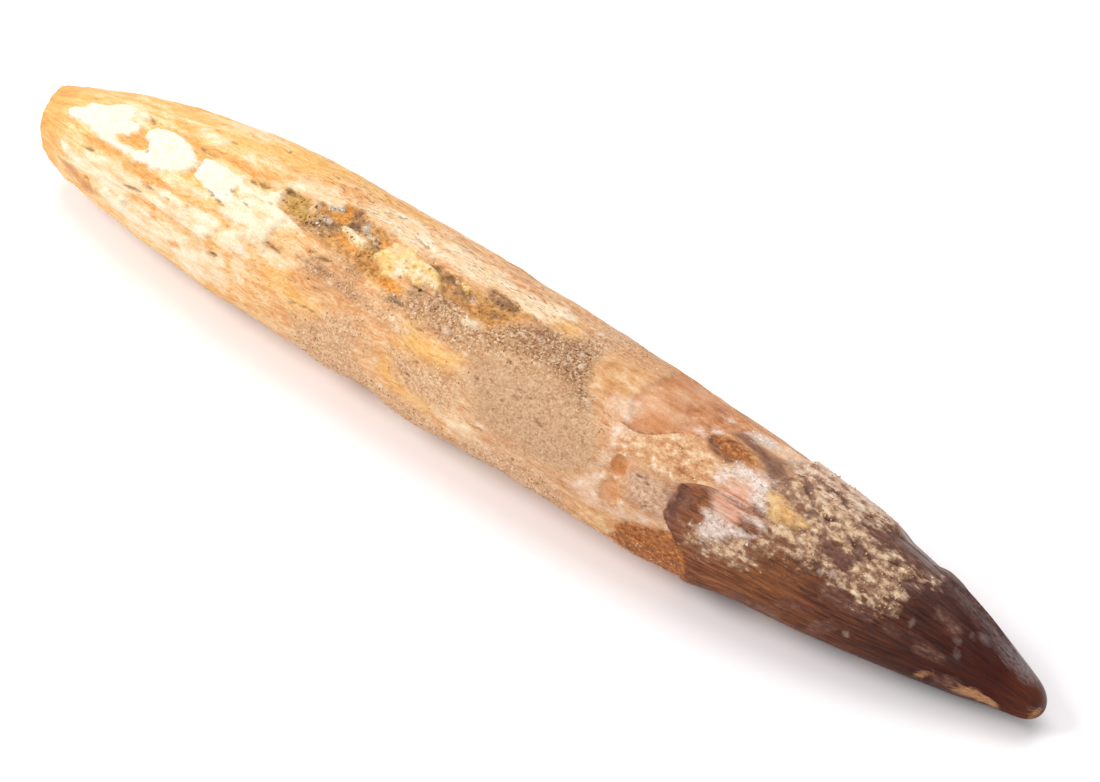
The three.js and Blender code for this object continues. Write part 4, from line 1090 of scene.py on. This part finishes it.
def crumbs(name, spots, sizes, shades, sunk):
    """One joined mesh of worn eight-sided crumbs on spots of the tooth, sunk into it by a part
    of their size, with their shades as a colour attribute."""
    count = len(spots)
    corners = np.array([(1, 0, 0), (-1, 0, 0), (0, 1, 0), (0, -1, 0), (0, 0, 1), (0, 0, -1)], float)
    faces = np.array([(0, 2, 4), (2, 1, 4), (1, 3, 4), (3, 0, 4),
                      (2, 0, 5), (1, 2, 5), (3, 1, 5), (0, 3, 5)])
    shape = corners * rng.uniform(*CORNER_REACH, (count, 6, 1))
    shape += rng.uniform(-CORNER_SHIFT, CORNER_SHIFT, (count, 6, 3))
    turned = np.linalg.qr(rng.normal(size=(count, 3, 3)))[0]
    turned[:, :, 0] *= np.sign(np.linalg.det(turned))[:, None]
    half = 0.5 * MM * sizes[:, None, None]
    out = tooth_normals[spots]
    aside = np.cross(out, rng.normal(size=(count, 3)))
    aside /= np.linalg.norm(aside, axis=1)[:, None]
    middle = (tooth_co[spots] + aside * rng.uniform(0, CRUMB_SHIFT, (count, 1)) * MM
              + out * half[:, 0] * (1 - 2 * sunk))
    corner_co = middle[:, None] + np.einsum("nij,nkj->nki", turned, shape) * half
    mesh = bpy.data.meshes.new(name)
    mesh.from_pydata(corner_co.reshape(-1, 3).tolist(), [],
                     (faces[None] + 6 * np.arange(count)[:, None, None]).reshape(-1, 3).tolist())
    layer = mesh.attributes.new("shade", "FLOAT_COLOR", "POINT")
    layer.data.foreach_set("color", np.repeat(shades, 6, 0).astype(np.float32).ravel())
    piece = bpy.data.objects.new(name, mesh)
    bpy.context.scene.collection.objects.link(piece)
    return piece


def crumb_finish(name, roughness):
    """A mineral that has the shade of each crumb."""
    mineral = Finish(name)
    return mineral.surface({"Base Color": mineral.attribute("shade", "Color"), "Roughness": roughness,
                            "IOR": 1.5, "Specular IOR Level": 0.2})


def pick(weights, count):
    """Places for crumbs: vertices of the tooth, picked by weight."""
    weights = weights + 1e-9
    return rng.choice(len(weights), count, replace=False, p=weights / weights.sum())


def pick_shades(codes, count):
    """Some of a few shades, at random."""
    return np.array([colour(code) for code in codes])[rng.integers(0, len(codes), count)]


lower_edge = on_root * (1 - step(np.abs(turn_between(turn, 112)), 8, 16)) * step(x, 2, -24)
sand_weights = inside("sand brown_sand", 0.8) + 0.3 * inside("fine_sand", 0.8) + 0.05 * inside("fill", 0.8)
sand_weights = on_root * (sand_weights + 0.35 * lower_edge) * (1 - crumbled) * (1 - pitted)
sand_spots = pick(sand_weights, GRAINS)
sand_shades = pick_shades(SAND_SHADES, GRAINS)
sand = crumbs("sand_grains", sand_spots, rng.uniform(*GRAIN_SIZE, GRAINS), sand_shades, 0.56)
sand.data.materials.append(crumb_finish("quartz_sand", 0.45))
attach(sand, "root")


# ---------------------------------------------------------------------------
# Crystals: crumbs of amber, olive, grey and near-black mineral that fill the
# eroded hollows, with pale ones over the yellow crust; grown in place.
# ---------------------------------------------------------------------------
def mixed_crumbs(name, kinds, weigh, power, sunk):
    """A piece of several kinds of crumbs: mark, number, (smallest, largest) in mm and shades. They
    are picked by a weight for each mark, and a higher power makes more of them small."""
    spots, sizes, shades = [], [], []
    for mark, count, (smallest, largest), codes in kinds:
        spots.append(pick(weigh(mark), count))
        sizes.append(smallest + (largest - smallest) * rng.random(count)**power)
        shades.append(pick_shades(codes, count))
    return crumbs(name, *(np.concatenate(lists) for lists in (spots, sizes, shades)), sunk)


near_hollows = step(x, 1, -31) * step(-x, 1, 1) * on_root
crystals = mixed_crumbs("hollow_crystals", (
    ("olive", 30, (0.3, 0.6), ("B0803A", "C8964A", "DCA654")),
    ("dun", 44, (0.25, 0.5), ("8E6E4A", "B08C62", "CDB292", "E8DCC8", "745838")),
    ("rusty", 70, (0.25, 0.5), ("A87038", "D0924A", "E4AE68", "8A5E34")),
    ("umber", 20, (0.25, 0.5), ("7A5834", "94703F", "AC8656")),
    ("grey", 16, (0.25, 0.5), ("C0B4A8", "D8CEC4", "A09282", "ECE4DA")),
    ("yellow", 16, (0.3, 0.6), ("F0C476", "FADA92", "FDE8B0")),
    ("crumb", 8, (0.3, 0.6), ("FFF0CC", "FBE6BC")),
    ("vivid", 30, (0.2, 0.4), ("F0A048", "F6B25C", "DC8C40")),
), lambda mark: inside(mark, 0.15, 0.05) * near_hollows, 1.6, 0.66)
crystals.data.materials.append(crumb_finish("crystals", 0.28))
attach(crystals, "root")


# ---------------------------------------------------------------------------
# Crown crust: crumbly cream and peach mineral that clings to the enamel, with
# whiter crumbs along the rind at its edge.
# ---------------------------------------------------------------------------
patchy = step(lumps(1.6, 1.3, 19.1), 0.25, -0.05)


def crust_weights(mark):
    """Most in patches, a few between them, and none on the far side or in the oval pits."""
    weights = inside(mark, 0.5, 0.1) * (0.08 + patchy) * step(turn, 3, -75) * step(-turn, 3, -80)
    return weights * (1 - inside("oval pale_oval", 0.3, -0.3))


crust = mixed_crumbs("crown_crust", (
    ("crust", 360, (0.2, 0.42),
     ("DEBA94", "D2AC86", "E2C4A0", "C8A07C", "BE9272", "DAB488", "CCB29E", "AA8266")),
    ("rind", 110, (0.2, 0.36), ("F2E4D8", "F4EAE0", "ECD8C8", "E4CAB8", "F0DEC8")),
    ("mottle", 30, (0.2, 0.34), ("FDF0D8", "EDC994", "DCB080", "F9E2BC")),
), crust_weights, 2, 0.68)
crust.data.materials.append(crumb_finish("crust", 0.9))
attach(crust, "root")


# ---------------------------------------------------------------------------
# Floor and light: a white sweep under soft, even light from all round, with
# one large lamp behind and above that leaves a faint shadow towards the front.
# ---------------------------------------------------------------------------
PAPER_WHITE = (0.935, 0.9, 0.91, 1)
SKY_STRENGTH = 0.47

bpy.ops.object.select_all(action="DESELECT")
bpy.ops.mesh.primitive_plane_add(size=6.0, location=(0, 0, 0))
floor = bpy.context.object
floor.name = "floor"
paper = Finish("paper").surface({"Base Color": PAPER_WHITE, "Roughness": 0.9, "Specular IOR Level": 0.0})
floor.data.materials.append(paper)

world = bpy.data.worlds.new("studio")
bpy.context.scene.world = world
world.use_nodes = True
sky = world.node_tree.nodes["Background"]
sky.inputs["Color"].default_value = (1, 1, 1, 1)
sky.inputs["Strength"].default_value = SKY_STRENGTH

# Lamps: name, place and size in metres, power in watts, and whether it shows in the gloss.
for name, place, size, power, glossy in (
        ("lamp_behind", (-0.2, 0.36, 0.8), 0.9, 6.1, True),
        ("lamp_left", (-0.45, -0.3, 0.5), 0.4, 4.0, False),
        ("lamp_front", (0.3, -0.75, 0.1), 0.4, 1.2, False)):
    light = bpy.data.lights.new(name, "AREA")
    light.shape = "DISK"
    light.size = size
    light.energy = power
    lamp = bpy.data.objects.new(name, light)
    bpy.context.scene.collection.objects.link(lamp)
    lamp.location = place
    lamp.rotation_euler = (-Vector(place)).to_track_quat("-Z", "Y").to_euler()
    lamp.visible_glossy = glossy
bpy.context.scene.view_settings.view_transform = "Standard"
